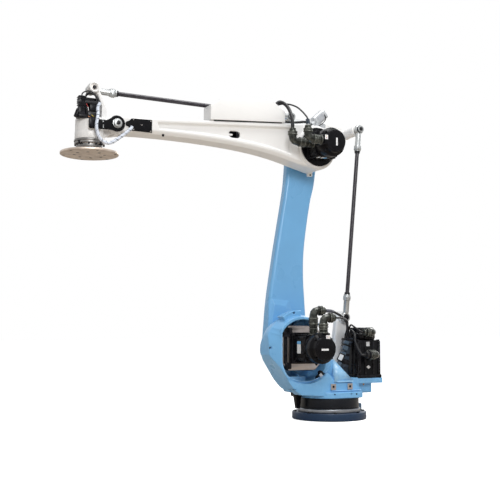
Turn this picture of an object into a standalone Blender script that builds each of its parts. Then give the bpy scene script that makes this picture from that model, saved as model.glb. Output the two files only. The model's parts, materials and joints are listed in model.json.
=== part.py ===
"""Four-axis palletising robot arm with two levelling rods.

X points forward to the tool, Y to the robot's left (the motor side), Z up. The origin is
on the swivel axis at the underside of the base. Every moving body hangs on an empty that
stands on its joint's axis. The rest pose leans the lower arm back and raises the upper
arm a little, as it stands in the photograph.
"""
import math

import bmesh
import bpy
from mathutils import Matrix, Vector

# Linkage
J2_X = 0.235
J2_Z = 0.422
LOWER_ARM_LENGTH = 1.205
LOWER_ARM_LEAN = math.radians(5.5)
UPPER_ARM_LENGTH = 1.255
UPPER_ARM_RISE = math.radians(0.35)
REAR_LINK_OFFSET = Vector((-0.403, 0.0, 0.182))
FRONT_LINK_OFFSET = Vector((0.107, 0.0, 0.2045))
REAR_ROD_Y = -0.068
FRONT_ROD_Y = -0.052
TOOL_OFFSET = 0.1225

# Clearances
GAP = 0.0003
RUNNING_GAP = 0.001

# Base
BASE_FLANGE_R = 0.222
BASE_FLANGE_T = 0.043
ANCHOR_CIRCLE_R = 0.205
ANCHOR_HOLE_R = 0.007
ANCHOR_COUNT = 8
BEARING_RING_R = 0.1875
BEARING_RING_T = 0.0227
DRUM_R = 0.178
DRUM_HEIGHT = 0.0614
HUB_R = 0.090
STOP_BLOCK_WIDTH = 0.066
STOP_BLOCK_HEIGHT = 0.040
STOP_BLOCK_DEPTH = 0.0225

# Waist casting
FLOOR_R = 0.189
FLOOR_T = 0.037
CHEEK_R = 0.196
CHEEK_NEAR_Y = 0.107
CHEEK_FAR_Y = -0.078
BOWL_R = 0.166
BOWL_FRONT_X = 0.137
BOWL_LOW_R = 0.197
LIP_R = 0.205
FRONT_FOOT_Z = 0.176
BOWL_FLOOR_Y = -0.030
BOWL_RIB_COUNT = 10
WEB_BORE_R = 0.098
SHOULDER_Y = 0.147
SIDE_BOSS_SIZE = 0.036
SIDE_BOSS_FACE_Y = 0.154
SIDE_BOSS_Z = 0.196
SIDE_BOSS_X = (0.064, -0.051)
SIDE_HOLE_R = 0.006
MOTOR_PAD_HALF_Y = 0.092
MOTOR_PAD_T = 0.030
MOTOR_PAD_TOP = 0.236
PAD_NECK_DROP = 0.0008
PEDESTAL_Y = -0.0985
STACK_TOP = 0.477
PEDESTAL_TOP = 0.300

# Servo motors: flange side, flange thickness, body side, body end, cap front, plug reach
SERVO_BODY = 0.150
SERVO_CORNER = 0.022
SERVO_CAP_R = 0.0855
SERVO_CAP_FACE_R = 0.064
SERVO_CAP_LENGTH = 0.107
J1_BODY = 0.172
J1_FLANGE = 0.184
J1_CAP_LENGTH = 0.075
J1_POWER_PLUG_BACK = 0.087
SERVO_CAP_NOSE = 0.040
CAP_BOSS_R = 0.088
POWER_PLUG_BACK = 0.028
ENCODER_PLUG_BACK = 0.027
J1_MOTOR_X = -0.235
J1_MOTOR_LENGTH = 0.304
J2_MOTOR_LENGTH = 0.266
J2_FLANGE = 0.180
J2_FLANGE_T = 0.043
J3_MOTOR_LENGTH = 0.197
J3_FLANGE_T = 0.012
ARM_REACHES = (0.2144, 0.1734)
PLATE_SIDE = 0.260
PLATE_CUT = 0.042
PLATE_NEAR_Y = 0.086
PLATE_T = 0.042
J2_CASE_R = 0.125

# Plugs and cables
PLUG_R = 0.0235
PLUG_ELBOW_R = 0.026
PLUG_TAIL = 0.050
POWER_CABLE_R = 0.0078
ENCODER_CABLE_R = 0.0055
ARM_CABLE_R = 0.0105
SLEEVE_R = 0.0095

# Lower arm
ARM_NEAR_Y = -0.098
ARM_FAR_Y = -0.200
HUB_NEAR_Y = -0.085
LOWER_HUB_R = 0.140
UPPER_HUB_R = 0.115
J2_OUTPUT_R = 0.094
J3_OUTPUT_R = 0.085

# Elbow link
LINK_NEAR_Y = -0.206
LINK_T = 0.037
ELBOW_PIN_R = 0.028
REAR_BOSS_R = 0.034
FRONT_BOSS_R = 0.031

# Ball joints and rods
EYE_R = 0.0285
EYE_T = 0.024
BALL_R = 0.0185
ROD_R = 0.0125
SHANK_R = 0.018
SHANK_END = 0.105
NUT_R = 0.0229
NUT_END = 0.137

# Upper arm
UPPER_HALF_Y = 0.075
ELBOW_R = 0.1355
ELBOW_BOSS_R = 0.128
ELBOW_BOSS_Y = 0.090
J3_DISC_R = 0.117
J3_DISC_T = 0.008
RECESS_DEPTH = 0.018
FORK_R = 0.045
FORK_SLOT_HALF = 0.045
FORK_SLOT_DEPTH = 0.078
COVER_NEAR_Y = 0.080
COVER_FAR_Y = -0.026
COVER_FOOT_GAP = 0.004
CABLE_END_GAP = 0.0026
CABLE_RISE = 0.040
HOOD_SEAT_Z = 0.138

# Wrist
WRIST_HUB_R = 0.050
HOUSING_R = 0.0785
HOUSING_TOP = 0.034
HOUSING_BOTTOM = -0.087
LINK_BOSS_NEAR_Y = 0.027
LINK_BOSS_FAR_Y = -0.0335
TORQUE_LEVER_Y = 0.0868
TORQUE_LEVER_T = 0.0118
WRIST_PIN_R = 0.018
J4_MOTOR_R = 0.047
J4_SHIFT = 0.008
J4_MOTOR_TOP = 0.112
J4_CAP_TOP = 0.158
REDUCER_FLANGE_R = 0.0785
REDUCER_R = 0.0705
REDUCER_BOTTOM = -0.142
TOOL_DISC_R = 0.1565
TOOL_DISC_T = 0.012
TOOL_DISC_TOP = -0.153
TOOL_HOLES = ((0.080, 8, 0.0045), (0.140, 6, 0.0045))

HOLE_PHASE = 0.02
ROUND = 28
LARGE_ROUND = 48


def start_empty():
    """Remove whatever the scene holds."""
    for item in list(bpy.data.objects):
        bpy.data.objects.remove(item, do_unlink=True)


def finish(name, colour, roughness, metallic=0.0):
    """A Principled material."""
    material = bpy.data.materials.new(name)
    material.use_nodes = True
    shader = material.node_tree.nodes["Principled BSDF"]
    shader.inputs["Base Color"].default_value = (*colour, 1.0)
    shader.inputs["Roughness"].default_value = roughness
    shader.inputs["Metallic"].default_value = metallic
    material.diffuse_color = (*colour, 1.0)
    return material


def body_frame(name, parent, place, tilt=0.0):
    """An empty on a joint's axis, turned about Y by tilt against its parent."""
    frame = bpy.data.objects.new(name, None)
    bpy.context.collection.objects.link(frame)
    frame.parent = parent
    frame.location = place
    frame.rotation_euler = (0.0, tilt, 0.0)
    return frame


def place_mesh(name, bm, frame, smooth_angle=35.0):
    """Put a bmesh on a body's empty and shade it by angle."""
    bmesh.ops.recalc_face_normals(bm, faces=bm.faces)
    mesh = bpy.data.meshes.new(name)
    bm.to_mesh(mesh)
    bm.free()
    mesh.shade_smooth()
    mesh.set_sharp_from_angle(angle=math.radians(smooth_angle))
    piece = bpy.data.objects.new(name, mesh)
    bpy.context.collection.objects.link(piece)
    piece.parent = frame
    return piece


def add_piece(name, bm, material, frame, joined=(), cut=(), added=()):
    """A finished piece: forms joined to it, then cut from it, then added inside the cuts."""
    piece = place_mesh(name, bm, frame)
    piece.data.materials.append(material)
    steps = [("UNION", form) for form in joined] + [("DIFFERENCE", form) for form in cut]
    steps += [("UNION", form) for form in added]
    for number, (operation, form) in enumerate(steps):
        tool = place_mesh(f"{name}_form_{number}", form, frame)
        tool.hide_render = True
        tool.display_type = "WIRE"
        boolean = piece.modifiers.new(f"form_{number}", "BOOLEAN")
        boolean.operation = operation
        boolean.object = tool
    return piece


def arc(x, z, radius, start, end, steps):
    """Points on a circle from one angle to another, in degrees."""
    turn = [math.radians(start + (end - start) * i / steps) for i in range(steps + 1)]
    return [(x + radius * math.cos(a), z + radius * math.sin(a)) for a in turn]


def smooth_run(points, steps):
    """A Catmull-Rom curve through points of any dimension."""
    ends = [points[0], *points, points[-1]]
    run = []
    for p0, p1, p2, p3 in zip(ends, ends[1:], ends[2:], ends[3:]):
        for i in range(steps):
            t = i / steps
            run.append(tuple(
                0.5 * (2 * b + (c - a) * t + (2 * a - 5 * b + 4 * c - d) * t * t
                       + (3 * b - a - 3 * c + d) * t ** 3)
                for a, b, c, d in zip(p0, p1, p2, p3)))
    run.append(tuple(points[-1]))
    return run


def towards(outline, centre, share):
    """An outline scaled about a centre."""
    return [(centre[0] + (x - centre[0]) * share, centre[1] + (z - centre[1]) * share)
            for x, z in outline]


def loft(loops):
    """A closed solid through loops with as many points each."""
    bm = bmesh.new()
    rings = [[bm.verts.new(point) for point in loop] for loop in loops]
    for low, high in zip(rings, rings[1:]):
        for i in range(len(low)):
            j = (i + 1) % len(low)
            bm.faces.new((low[i], low[j], high[j], high[i]))
    bm.faces.new(reversed(rings[0]))
    bm.faces.new(rings[-1])
    return bm


def side_loop(outline, y):
    """An XZ outline set at one Y."""
    return [(x, y, z) for x, z in outline]


def shrink(outline, amount):
    """Move each point of a loop inwards by amount, along its corner's bisector."""
    count = len(outline)
    area = sum(outline[i][0] * outline[(i + 1) % count][1]
               - outline[(i + 1) % count][0] * outline[i][1] for i in range(count))
    turn = 1.0 if area > 0 else -1.0
    moved = []
    for i, (x, z) in enumerate(outline):
        before = Vector(outline[i - 1])
        here = Vector((x, z))
        after = Vector(outline[(i + 1) % count])
        into = (here - before).normalized()
        out = (after - here).normalized()
        normal = Vector((-(into.y + out.y), into.x + out.x)).normalized() * turn
        spread = max(0.5, math.sqrt((1.0 + into.dot(out)) / 2.0))
        moved.append(tuple(here + normal * amount / spread))
    return moved


def plate(outline, y_near, y_far, edge=0.0):
    """An XZ outline extruded along Y, with its rims chamfered."""
    if edge == 0.0:
        return loft([side_loop(outline, y_far), side_loop(outline, y_near)])
    inner = shrink(outline, edge)
    step = edge if y_near > y_far else -edge
    return loft([side_loop(inner, y_far), side_loop(outline, y_far + step),
                 side_loop(outline, y_near - step), side_loop(inner, y_near)])


def block(low, high, edge=0.0):
    """A box between two corners, with its edges chamfered."""
    bm = bmesh.new()
    size = Vector(high) - Vector(low)
    middle = (Vector(high) + Vector(low)) / 2
    place = Matrix.Translation(middle) @ Matrix.Diagonal((*size, 1.0))
    bmesh.ops.create_cube(bm, size=1.0, matrix=place)
    if edge:
        bmesh.ops.bevel(bm, geom=list(bm.edges), offset=edge, segments=1, affect="EDGES")
    return bm


AXIS_TURN = {
    "X": Matrix.Rotation(math.radians(90), 4, "Y"),
    "Y": Matrix.Rotation(math.radians(-90), 4, "X"),
    "Z": Matrix.Identity(4),
}


def turned(profile, axis="Z", centre=(0.0, 0.0, 0.0), steps=ROUND, hollow=False):
    """A profile of (radius, height) points spun round an axis."""
    bm = bmesh.new()
    verts = [bm.verts.new((radius, 0.0, height)) for radius, height in profile]
    edges = [bm.edges.new(pair) for pair in zip(verts, verts[1:])]
    if hollow:
        edges.append(bm.edges.new((verts[-1], verts[0])))
    bmesh.ops.spin(bm, geom=verts + edges, cent=(0, 0, 0), axis=(0, 0, 1),
                   angle=math.tau, steps=steps, use_merge=True)
    bmesh.ops.remove_doubles(bm, verts=bm.verts, dist=0.00001)
    bm.transform(Matrix.Translation(centre) @ AXIS_TURN[axis])
    return bm


def disc(radius, low, high, axis="Z", centre=(0.0, 0.0, 0.0), edge=0.0, steps=ROUND):
    """A turned disc or drum from one height to another, with chamfered rims."""
    if edge == 0.0:
        return turned([(0, low), (radius, low), (radius, high), (0, high)],
                      axis, centre, steps)
    return turned([(0, low), (radius - edge, low), (radius, low + edge),
                   (radius, high - edge), (radius - edge, high), (0, high)],
                  axis, centre, steps)


def ring(inner, outer, low, high, axis="Z", centre=(0.0, 0.0, 0.0), edge=0.0, steps=ROUND):
    """A turned ring with its outer rims chamfered."""
    return turned([(inner, low), (outer - edge, low), (outer, low + edge),
                   (outer, high - edge), (outer - edge, high), (inner, high)],
                  axis, centre, steps, hollow=True) if edge else turned(
        [(inner, low), (outer, low), (outer, high), (inner, high)],
        axis, centre, steps, hollow=True)


def merged(forms):
    """Several forms that don't touch, as one tool."""
    whole = bmesh.new()
    for form in forms:
        spare = bpy.data.meshes.new("form")
        bmesh.ops.recalc_face_normals(form, faces=form.faces)
        form.to_mesh(spare)
        form.free()
        whole.from_mesh(spare)
        bpy.data.meshes.remove(spare)
    return whole


def hole_circle(circle_r, count, hole_r, low, high, centre=(0.0, 0.0, 0.0), steps=10):
    """Round holes on a circle about Z."""
    holes = []
    for i in range(count):
        turn = math.tau * (i + 0.5) / count + HOLE_PHASE
        spot = (centre[0] + circle_r * math.cos(turn), centre[1] + circle_r * math.sin(turn),
                centre[2])
        holes.append(disc(hole_r, low, high, "Z", spot, steps=steps))
    return merged(holes)


def rounded_square(side, corner, z, steps=4):
    """A square loop with round corners, in an XY plane."""
    half = side / 2 - corner
    loop = []
    for quarter, (sx, sy) in enumerate(((1, 1), (-1, 1), (-1, -1), (1, -1))):
        loop += [(x, y, z) for x, y in arc(sx * half, sy * half, corner, 90 * quarter,
                                          90 * quarter + 90, steps)]
    return loop


def tube(name, route, radius, material, frame, sides=2):
    """A cable: a curve with filled caps through a smooth run of the route's points."""
    fine = [Vector(p) for p in smooth_run(route, 24)]
    length = sum((b - a).length for a, b in zip(fine, fine[1:]))
    stub = 1.6 * radius
    count = max(3, round((length - 2 * stub) / (4.6 * radius)))
    marks = [stub + (length - 2 * stub) * i / count for i in range(count + 1)]
    picked = [fine[0]]
    travelled = 0.0
    for a, b in zip(fine, fine[1:]):
        travelled += (b - a).length
        if marks and travelled >= marks[0]:
            picked.append(b)
            marks.pop(0)
    picked.append(fine[-1])
    curve = bpy.data.curves.new(name, "CURVE")
    curve.dimensions = "3D"
    curve.bevel_depth = radius
    curve.bevel_resolution = sides
    curve.use_fill_caps = True
    spline = curve.splines.new("POLY")
    spline.points.add(len(picked) - 1)
    for point, place in zip(spline.points, picked):
        point.co = (*place, 1.0)
    piece = bpy.data.objects.new(name, curve)
    bpy.context.collection.objects.link(piece)
    piece.data.materials.append(material)
    piece.parent = frame
    return piece


# Servo motors are built with their shaft along local Z, plugs on local +X and the
# plugs' tails turned to local -Y, then set in place by a matrix.
def servo_place(origin, shaft, plug_side):
    """The matrix that puts a servo's mounting face at origin."""
    out = Vector(shaft)
    side = Vector(plug_side)
    across = out.cross(side)
    turn = Matrix((side, across, out)).transposed().to_4x4()
    return Matrix.Translation(origin) @ turn


def plug(name, place, start, reach, along, frame):
    """A right-angle round connector: coupling nut, elbow and back shell."""
    straight = reach - start - PLUG_ELBOW_R
    stations = []
    nut = PLUG_R + 0.003
    waist_r = PLUG_R - 0.001
    for share, radius in ((0.0, nut), (0.12, nut), (0.14, PLUG_R), (0.45, PLUG_R),
                          (0.50, nut), (0.88, nut), (0.94, waist_r)):
        stations.append((Vector((start + straight * share, 0, along)), 0.0, radius))
    for i in range(4):
        turn = math.radians(90 * i / 3)
        spot = Vector((reach - PLUG_ELBOW_R + PLUG_ELBOW_R * math.sin(turn),
                       -PLUG_ELBOW_R * (1 - math.cos(turn)), along))
        stations.append((spot, turn, waist_r))
    for share, radius in ((0.24, waist_r), (0.28, nut), (0.62, nut), (0.66, 0.0185),
                          (1.0, 0.0165)):
        spot = Vector((reach, -PLUG_ELBOW_R - PLUG_TAIL * share, along))
        stations.append((spot, math.radians(90), radius))
    loops = []
    for spot, turn, radius in stations:
        across = Vector((math.sin(turn), math.cos(turn), 0))
        loops.append([spot + radius * (math.cos(a) * across + math.sin(a) * Vector((0, 0, 1)))
                      for a in (math.tau * i / 12 for i in range(12))])
    bm = loft(loops)
    bm.transform(place)
    add_piece(name, bm, OLIVE, frame)
    return place @ Vector((reach, -PLUG_ELBOW_R - PLUG_TAIL - CABLE_END_GAP, along))


def servo(prefix, place, length, flange, frame, reaches, side=SERVO_BODY,
          cap_length=SERVO_CAP_LENGTH, power_back=POWER_PLUG_BACK):
    """A servo motor, its encoder cap and its two plugs. Returns the plugs' cable ends."""
    flange_side, flange_t = flange
    power_reach, encoder_reach = reaches
    body_end = length - cap_length
    body = loft([rounded_square(flange_side, 0.012, 0.0),
                 rounded_square(flange_side, 0.012, flange_t),
                 rounded_square(side, SERVO_CORNER, flange_t),
                 rounded_square(side, SERVO_CORNER, body_end)])
    body.transform(place)
    add_piece(f"{prefix}_motor", body, BLACK, frame)
    rim_end = length - SERVO_CAP_NOSE
    cap = turned([(0, body_end + GAP), (SERVO_CAP_R - 0.006, body_end + GAP),
                  (SERVO_CAP_R, body_end + 0.012), (SERVO_CAP_R, rim_end),
                  (SERVO_CAP_FACE_R + 0.006, rim_end + 0.012),
                  (SERVO_CAP_FACE_R + 0.004, length - 0.006),
                  (SERVO_CAP_FACE_R, length), (0, length)])
    cap.transform(place)
    boss = block((0.040, -0.029, rim_end - 0.030), (CAP_BOSS_R, 0.029, length - 0.001), 0.003)
    boss.transform(place)
    add_piece(f"{prefix}_motor_cap", cap, BLACK, frame, joined=[boss])
    power = plug(f"{prefix}_power_plug", place, side / 2 + GAP, power_reach,
                 body_end - power_back, frame)
    encoder = plug(f"{prefix}_encoder_plug", place, CAP_BOSS_R + GAP, encoder_reach,
                   length - ENCODER_PLUG_BACK, frame)
    return power, encoder


def ball_pin(name, centre, seat_y, toward, frame, material):
    """A rod's pivot: collar on its seat, ball in the eye, bolt head outside."""
    plane = centre[1]
    seat = abs(seat_y - plane)
    half = EYE_T / 2
    flat = math.sqrt(BALL_R ** 2 - (half - 0.001) ** 2)
    profile = [(0, -seat), (0.0195, -seat), (0.0195, -half - 2 * GAP), (flat, -half - 2 * GAP),
               (flat, -half + 0.001)]
    for i in range(1, 4):
        height = (half - 0.001) * (i / 2 - 1)
        profile.append((math.sqrt(BALL_R ** 2 - height ** 2), height))
    profile += [(flat, half - 0.001), (0.0165, half + 0.001), (0.0165, half + 0.004),
                (0.012, half + 0.0045), (0.012, half + 0.012), (0, half + 0.012)]
    if toward < 0:
        profile = [(radius, -height) for radius, height in profile]
    add_piece(name, turned(profile, "Y", centre, steps=16), material, frame)


def rod_end(name, length_at, sign, axis, frame):
    """A rod end: eye, shank and lock nut. The shank runs along the rod."""
    centre = Vector((0, 0, 0))
    centre["XYZ".index(axis)] = length_at
    if sign > 0:
        steps = [(0, EYE_R - 0.008), (SHANK_R * 0.9, EYE_R - 0.008), (SHANK_R, EYE_R + 0.006),
                 (SHANK_R, SHANK_END), (NUT_R - 0.003, SHANK_END), (NUT_R, SHANK_END + 0.003),
                 (NUT_R, NUT_END - 0.003), (NUT_R - 0.003, NUT_END), (0, NUT_END)]
    else:
        steps = [(0, -NUT_END), (NUT_R - 0.003, -NUT_END), (NUT_R, -NUT_END + 0.003),
                 (NUT_R, -SHANK_END - 0.003), (NUT_R - 0.003, -SHANK_END),
                 (SHANK_R, -SHANK_END), (SHANK_R, -EYE_R - 0.006),
                 (SHANK_R * 0.9, -EYE_R + 0.008), (0, -EYE_R + 0.008)]
    shank = turned(steps, axis, centre, steps=12)
    eye = disc(EYE_R, -EYE_T / 2, EYE_T / 2, "Y", centre, 0.003, steps=24)
    bore = disc(BALL_R + GAP, -EYE_T, EYE_T, "Y", centre, steps=20)
    add_piece(name, eye, ZINC, frame, joined=[shank], cut=[bore])


def rod(prefix, length, axis, frame):
    """A levelling rod: tube and two rod ends."""
    centre = (0, 0, 0)
    pipe = disc(ROD_R, NUT_END + GAP, length - NUT_END - GAP, axis, centre, steps=16)
    add_piece(f"{prefix}_rod_tube", pipe, CHARCOAL, frame)
    rod_end(f"{prefix}_rod_start_end", 0.0, 1, axis, frame)
    rod_end(f"{prefix}_rod_far_end", length, -1, axis, frame)


# Base
def build_base(base):
    """Foot flange, bearing ring, drum and swivel stop."""
    flange = disc(BASE_FLANGE_R, 0.0, BASE_FLANGE_T, edge=0.003, steps=LARGE_ROUND)
    anchors = hole_circle(ANCHOR_CIRCLE_R, ANCHOR_COUNT, ANCHOR_HOLE_R, -0.01,
                          BASE_FLANGE_T + 0.01)
    add_piece("base_flange", flange, NAVY, base, cut=[anchors])
    ring_low = BASE_FLANGE_T + GAP
    ring_high = ring_low + BEARING_RING_T
    add_piece("j1_bearing_ring",
              ring(HUB_R + RUNNING_GAP, BEARING_RING_R, ring_low, ring_high, edge=0.003,
                   steps=LARGE_ROUND), STEEL, base)
    add_piece("base_drum",
              ring(HUB_R + RUNNING_GAP, DRUM_R, ring_high + GAP, ring_high + GAP + DRUM_HEIGHT,
                   edge=0.002, steps=LARGE_ROUND), DRUM_BLACK, base)
    stop_out = -(BASE_FLANGE_R - 0.0075)
    stop = block((stop_out, -STOP_BLOCK_WIDTH / 2, BASE_FLANGE_T + GAP),
                 (stop_out + STOP_BLOCK_DEPTH, STOP_BLOCK_WIDTH / 2,
                  BASE_FLANGE_T + STOP_BLOCK_HEIGHT), 0.003)
    add_piece("base_stop_block", stop, BLUE_GREY, base)
    return ring_high + DRUM_HEIGHT + 2 * GAP


# Waist
def radial_loop(table, x, z, start, end, steps):
    """Points about a centre whose radius follows a table of (angle, radius)."""
    loop = []
    for i in range(steps + 1):
        turn = start + (end - start) * i / steps
        for (a0, r0), (a1, r1) in zip(table, table[1:]):
            if a1 <= turn <= a0:
                radius = r0 + (r1 - r0) * (turn - a0) / (a1 - a0)
        turn = math.radians(turn)
        loop.append((x + radius * math.cos(turn), z + radius * math.sin(turn)))
    return loop


def cheek_outline(floor_z, table):
    """The waist casting's side view: round top, leaning front, foot and rear slope."""
    over = radial_loop(table, J2_X, J2_Z, 197, -72, 30)
    foot = [(0.196, FRONT_FOOT_Z), (0.186, floor_z + 0.006), (-0.130, floor_z + 0.006),
            (-0.160, floor_z + 0.020), (-0.165, floor_z + 0.048)]
    slope = [(-0.106, floor_z + 0.100), (-0.055, floor_z + 0.131), (-0.012, floor_z + 0.166),
             (0.020, floor_z + 0.207)]
    return over + foot + slope


def waist_floor(floor_z):
    """The round floor plate with squared shoulders towards the rear."""
    half = [(x, y) for x, y in arc(0.0, 0.0, FLOOR_R, 0, 62, 12)]
    half += [(0.045, 0.172), (-0.110, 0.172), (-0.135, 0.160), (-0.150, 0.130), (-0.158, 0.060)]
    outline = half + [(x, -y) for x, y in reversed(half[1:])]
    levels = ((floor_z, 0.003), (floor_z + 0.003, 0.0), (floor_z + FLOOR_T - 0.004, 0.0),
              (floor_z + FLOOR_T, 0.006))
    return loft([[(x, y, z) for x, y in shrink(outline, edge)] for z, edge in levels])


def shoulder(side, floor_z, top_z):
    """The thick lower wall on one side of the waist."""
    low = floor_z + 0.010
    loops = []
    stations = ((-0.150, 0.55, 0.0), (-0.128, 0.96, 0.0), (-0.110, 1.0, 0.0),
                (0.040, 1.0, 0.0), (0.080, 1.0, 0.034), (0.262, 0.97, 0.034),
                (0.268, 0.93, 0.034), (0.330, 0.50, 0.034))
    for x, share, lift in stations if side > 0 else (*stations[:5], (0.185, 0.9, 0.0)):
        out = 0.060 + (SHOULDER_Y - 0.060) * share
        top = top_z + (lift if side > 0 else 0.0)
        foot = low if x < 0.19 else low + 0.014 if x < 0.3 else FRONT_FOOT_Z + 0.030
        loops.append([(x, side * 0.050, foot), (x, side * (out - 0.002), foot),
                      (x, side * out, foot + 0.010), (x, side * (out - 0.003), top - 0.026),
                      (x, side * (out - 0.024), top), (x, side * 0.050, top)])
    return loft(loops)


def bowl_ribs():
    """Gussets between the bowl's wall and the gearbox seat."""
    ribs = []
    outline = ((0.120, BOWL_FLOOR_Y - 0.004), (BOWL_R + 0.004, BOWL_FLOOR_Y - 0.004),
               (BOWL_R + 0.004, 0.048), (BOWL_R - 0.008, 0.048), (0.132, BOWL_FLOOR_Y + 0.010),
               (0.120, BOWL_FLOOR_Y + 0.010))
    for i in range(BOWL_RIB_COUNT):
        turn = 360.0 * (i + 0.5) / BOWL_RIB_COUNT
        if 125 < turn < 205:
            continue
        rib = loft([[(r, y, side) for r, y in outline] for side in (-0.005, 0.005)])
        rib.transform(Matrix.Translation((J2_X, 0, J2_Z))
                      @ Matrix.Rotation(math.radians(-turn), 4, "Y"))
        ribs.append(rib)
    return ribs


def build_waist(waist, floor_z):
    """The main casting: floor, cheek with its bowl, shoulders, motor pad and bosses."""
    middle = cheek_outline(floor_z, ((197, CHEEK_R), (60, CHEEK_R + 0.001), (35, 0.207),
                                     (0, 0.209), (-24, 0.219), (-49, 0.231), (-72, 0.258)))
    clip = BOWL_FRONT_X + 0.009
    near = cheek_outline(floor_z, ((197, CHEEK_R - 0.020), (100, CHEEK_R - 0.018),
                                   (60, CHEEK_R - 0.013), (37, CHEEK_R - 0.013),
                                   (18, clip / 0.951), (0, clip), (-18, clip / 0.951),
                                   (-36, clip / 0.809), (-58, 0.214), (-72, 0.246)))
    cheek = loft([side_loop(towards(shape, (J2_X, J2_Z), share), y) for y, shape, share in (
        (CHEEK_FAR_Y, middle, 0.86), (CHEEK_FAR_Y + 0.030, middle, 0.955),
        (-0.020, middle, 0.995), (0.022, middle, 1.0), (0.030, middle, 0.992),
        (CHEEK_NEAR_Y - 0.006, near, 1.012), (CHEEK_NEAR_Y, near, 0.998))])
    pad_mid = J1_MOTOR_X
    pad = loft([[(pad_mid + x, y, z) for x, y, z in rounded_square(0.192, 0.014, height)]
                for height in (MOTOR_PAD_TOP - MOTOR_PAD_T, MOTOR_PAD_TOP)])
    pad_neck = block((J1_MOTOR_X + 0.060, -MOTOR_PAD_HALF_Y, MOTOR_PAD_TOP - MOTOR_PAD_T),
                     (-0.020, MOTOR_PAD_HALF_Y, MOTOR_PAD_TOP - PAD_NECK_DROP), 0.004)
    pad_foot = block((J1_MOTOR_X - 0.040, -0.058, floor_z + 0.018),
                     (-0.080, 0.058, MOTOR_PAD_TOP - 0.010), 0.008)
    pedestal = loft([[(x0, y0, z), (x1, y0, z), (x1, y1, z), (x0, y1, z)]
                     for z, x0, x1, y0, y1 in (
                         (floor_z + 0.020, -0.120, 0.000, -0.156, PEDESTAL_Y),
                         (PEDESTAL_TOP - 0.070, -0.166, -0.030, -0.152, PEDESTAL_Y),
                         (PEDESTAL_TOP, -0.178, -0.078, -0.146, PEDESTAL_Y))])
    bosses = [block((x - SIDE_BOSS_SIZE / 2, 0.100, SIDE_BOSS_Z - SIDE_BOSS_SIZE / 2),
                    (x + SIDE_BOSS_SIZE / 2, SIDE_BOSS_FACE_Y, SIDE_BOSS_Z + SIDE_BOSS_SIZE / 2),
                    0.002) for x in SIDE_BOSS_X]
    crown = plate(arc(J2_X, J2_Z, CHEEK_R - 0.022, 56, 90, 6)
                  + arc(J2_X, J2_Z, CHEEK_R + 0.024, 90, 56, 6), 0.078, 0.004, 0.004)
    bowl_edge = radial_loop(((360, BOWL_FRONT_X), (342, BOWL_FRONT_X / 0.951), (325, BOWL_R),
                             (302, 0.190), (285, BOWL_LOW_R), (232, BOWL_LOW_R), (200, BOWL_R),
                             (34, BOWL_R), (18, BOWL_FRONT_X / 0.951), (0, BOWL_FRONT_X)),
                            J2_X, J2_Z, 360, 0, 45)[:-1]
    bowl = loft([side_loop(towards(bowl_edge, (J2_X, J2_Z), share), y) for y, share in (
        (BOWL_FLOOR_Y, 0.95), (BOWL_FLOOR_Y + 0.010, 1.0), (0.200, 1.0))])
    lip = disc(LIP_R, CHEEK_NEAR_Y - 0.002, 0.250, "Y", (J2_X, 0, J2_Z), steps=LARGE_ROUND)
    web_bore = disc(WEB_BORE_R, -0.200, 0.050, "Y", (J2_X, 0, J2_Z))
    opening = plate([(J2_X - 0.060, J2_Z - 0.030), (J2_X - 0.300, J2_Z - 0.062),
                     (J2_X - 0.300, J2_Z + 0.240), (J2_X - 0.115, J2_Z + 0.165)],
                    0.150, -0.002)
    crown_turn = math.radians(77)
    crown_hole = disc(0.0065, 0.030, 0.200, "Y",
                      (J2_X + (CHEEK_R + 0.012) * math.cos(crown_turn), 0.0,
                       J2_Z + (CHEEK_R + 0.012) * math.sin(crown_turn)), steps=10)
    front_hole = disc(0.0065, 0.180, 0.260, "X", (J2_X, 0.050, J2_Z + 0.002), steps=10)
    side_holes = [disc(SIDE_HOLE_R, 0.130, 0.180, "Y", (x, 0, SIDE_BOSS_Z), steps=10)
                  for x in SIDE_BOSS_X]
    side_holes += [disc(0.0045, 0.130, 0.180, "Y", (x, 0, SIDE_BOSS_Z - 0.044), steps=8)
                   for x in SIDE_BOSS_X]
    flange_room = block((-0.350, -J1_FLANGE / 2 - 0.001, MOTOR_PAD_TOP),
                        (J1_MOTOR_X + J1_FLANGE / 2 + 0.001, J1_FLANGE / 2 + 0.001, 0.600))
    stack_room = block((-0.109, 0.010, MOTOR_PAD_TOP - PAD_NECK_DROP), (-0.063, 0.050, 0.600))
    shoulders = [shoulder(1, floor_z, SIDE_BOSS_Z + 0.046), shoulder(-1, floor_z, 0.215)]
    add_piece("waist_frame", waist_floor(floor_z), SKY_BLUE, waist,
              joined=[cheek, *shoulders, pad, pad_neck, pad_foot, pedestal, *bosses, crown],
              cut=[lip, bowl, web_bore, opening, crown_hole, front_hole, merged(side_holes),
                   flange_room, stack_room],
              added=bowl_ribs())
    hub_low = BASE_FLANGE_T + 0.003
    add_piece("j1_output_hub", disc(HUB_R, hub_low, floor_z - GAP, edge=0.002), STEEL, waist)
    stop = loft([[(x0, -w, z), (x1, -w, z), (x1, w, z), (x0, w, z)] for z, x0, x1, w in (
        (0.066, 0.205, 0.229, 0.011), (0.134, 0.202, 0.236, 0.019), (0.139, 0.202, 0.246, 0.031),
        (FRONT_FOOT_Z - 0.004, 0.202, 0.249, 0.033), (FRONT_FOOT_Z - GAP, 0.202, 0.244, 0.029))])
    add_piece("j1_stop_pin", stop, BLACK, waist)


def build_j1_motor(waist):
    """The swivel motor, upright on the rear pad."""
    place = servo_place((J1_MOTOR_X, 0, MOTOR_PAD_TOP + GAP), (0, 0, 1), (0, 1, 0))
    return servo("j1", place, J1_MOTOR_LENGTH, (J1_FLANGE, 0.020), waist, (0.174, 0.140),
                 J1_BODY, J1_CAP_LENGTH, J1_POWER_PLUG_BACK)


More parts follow.
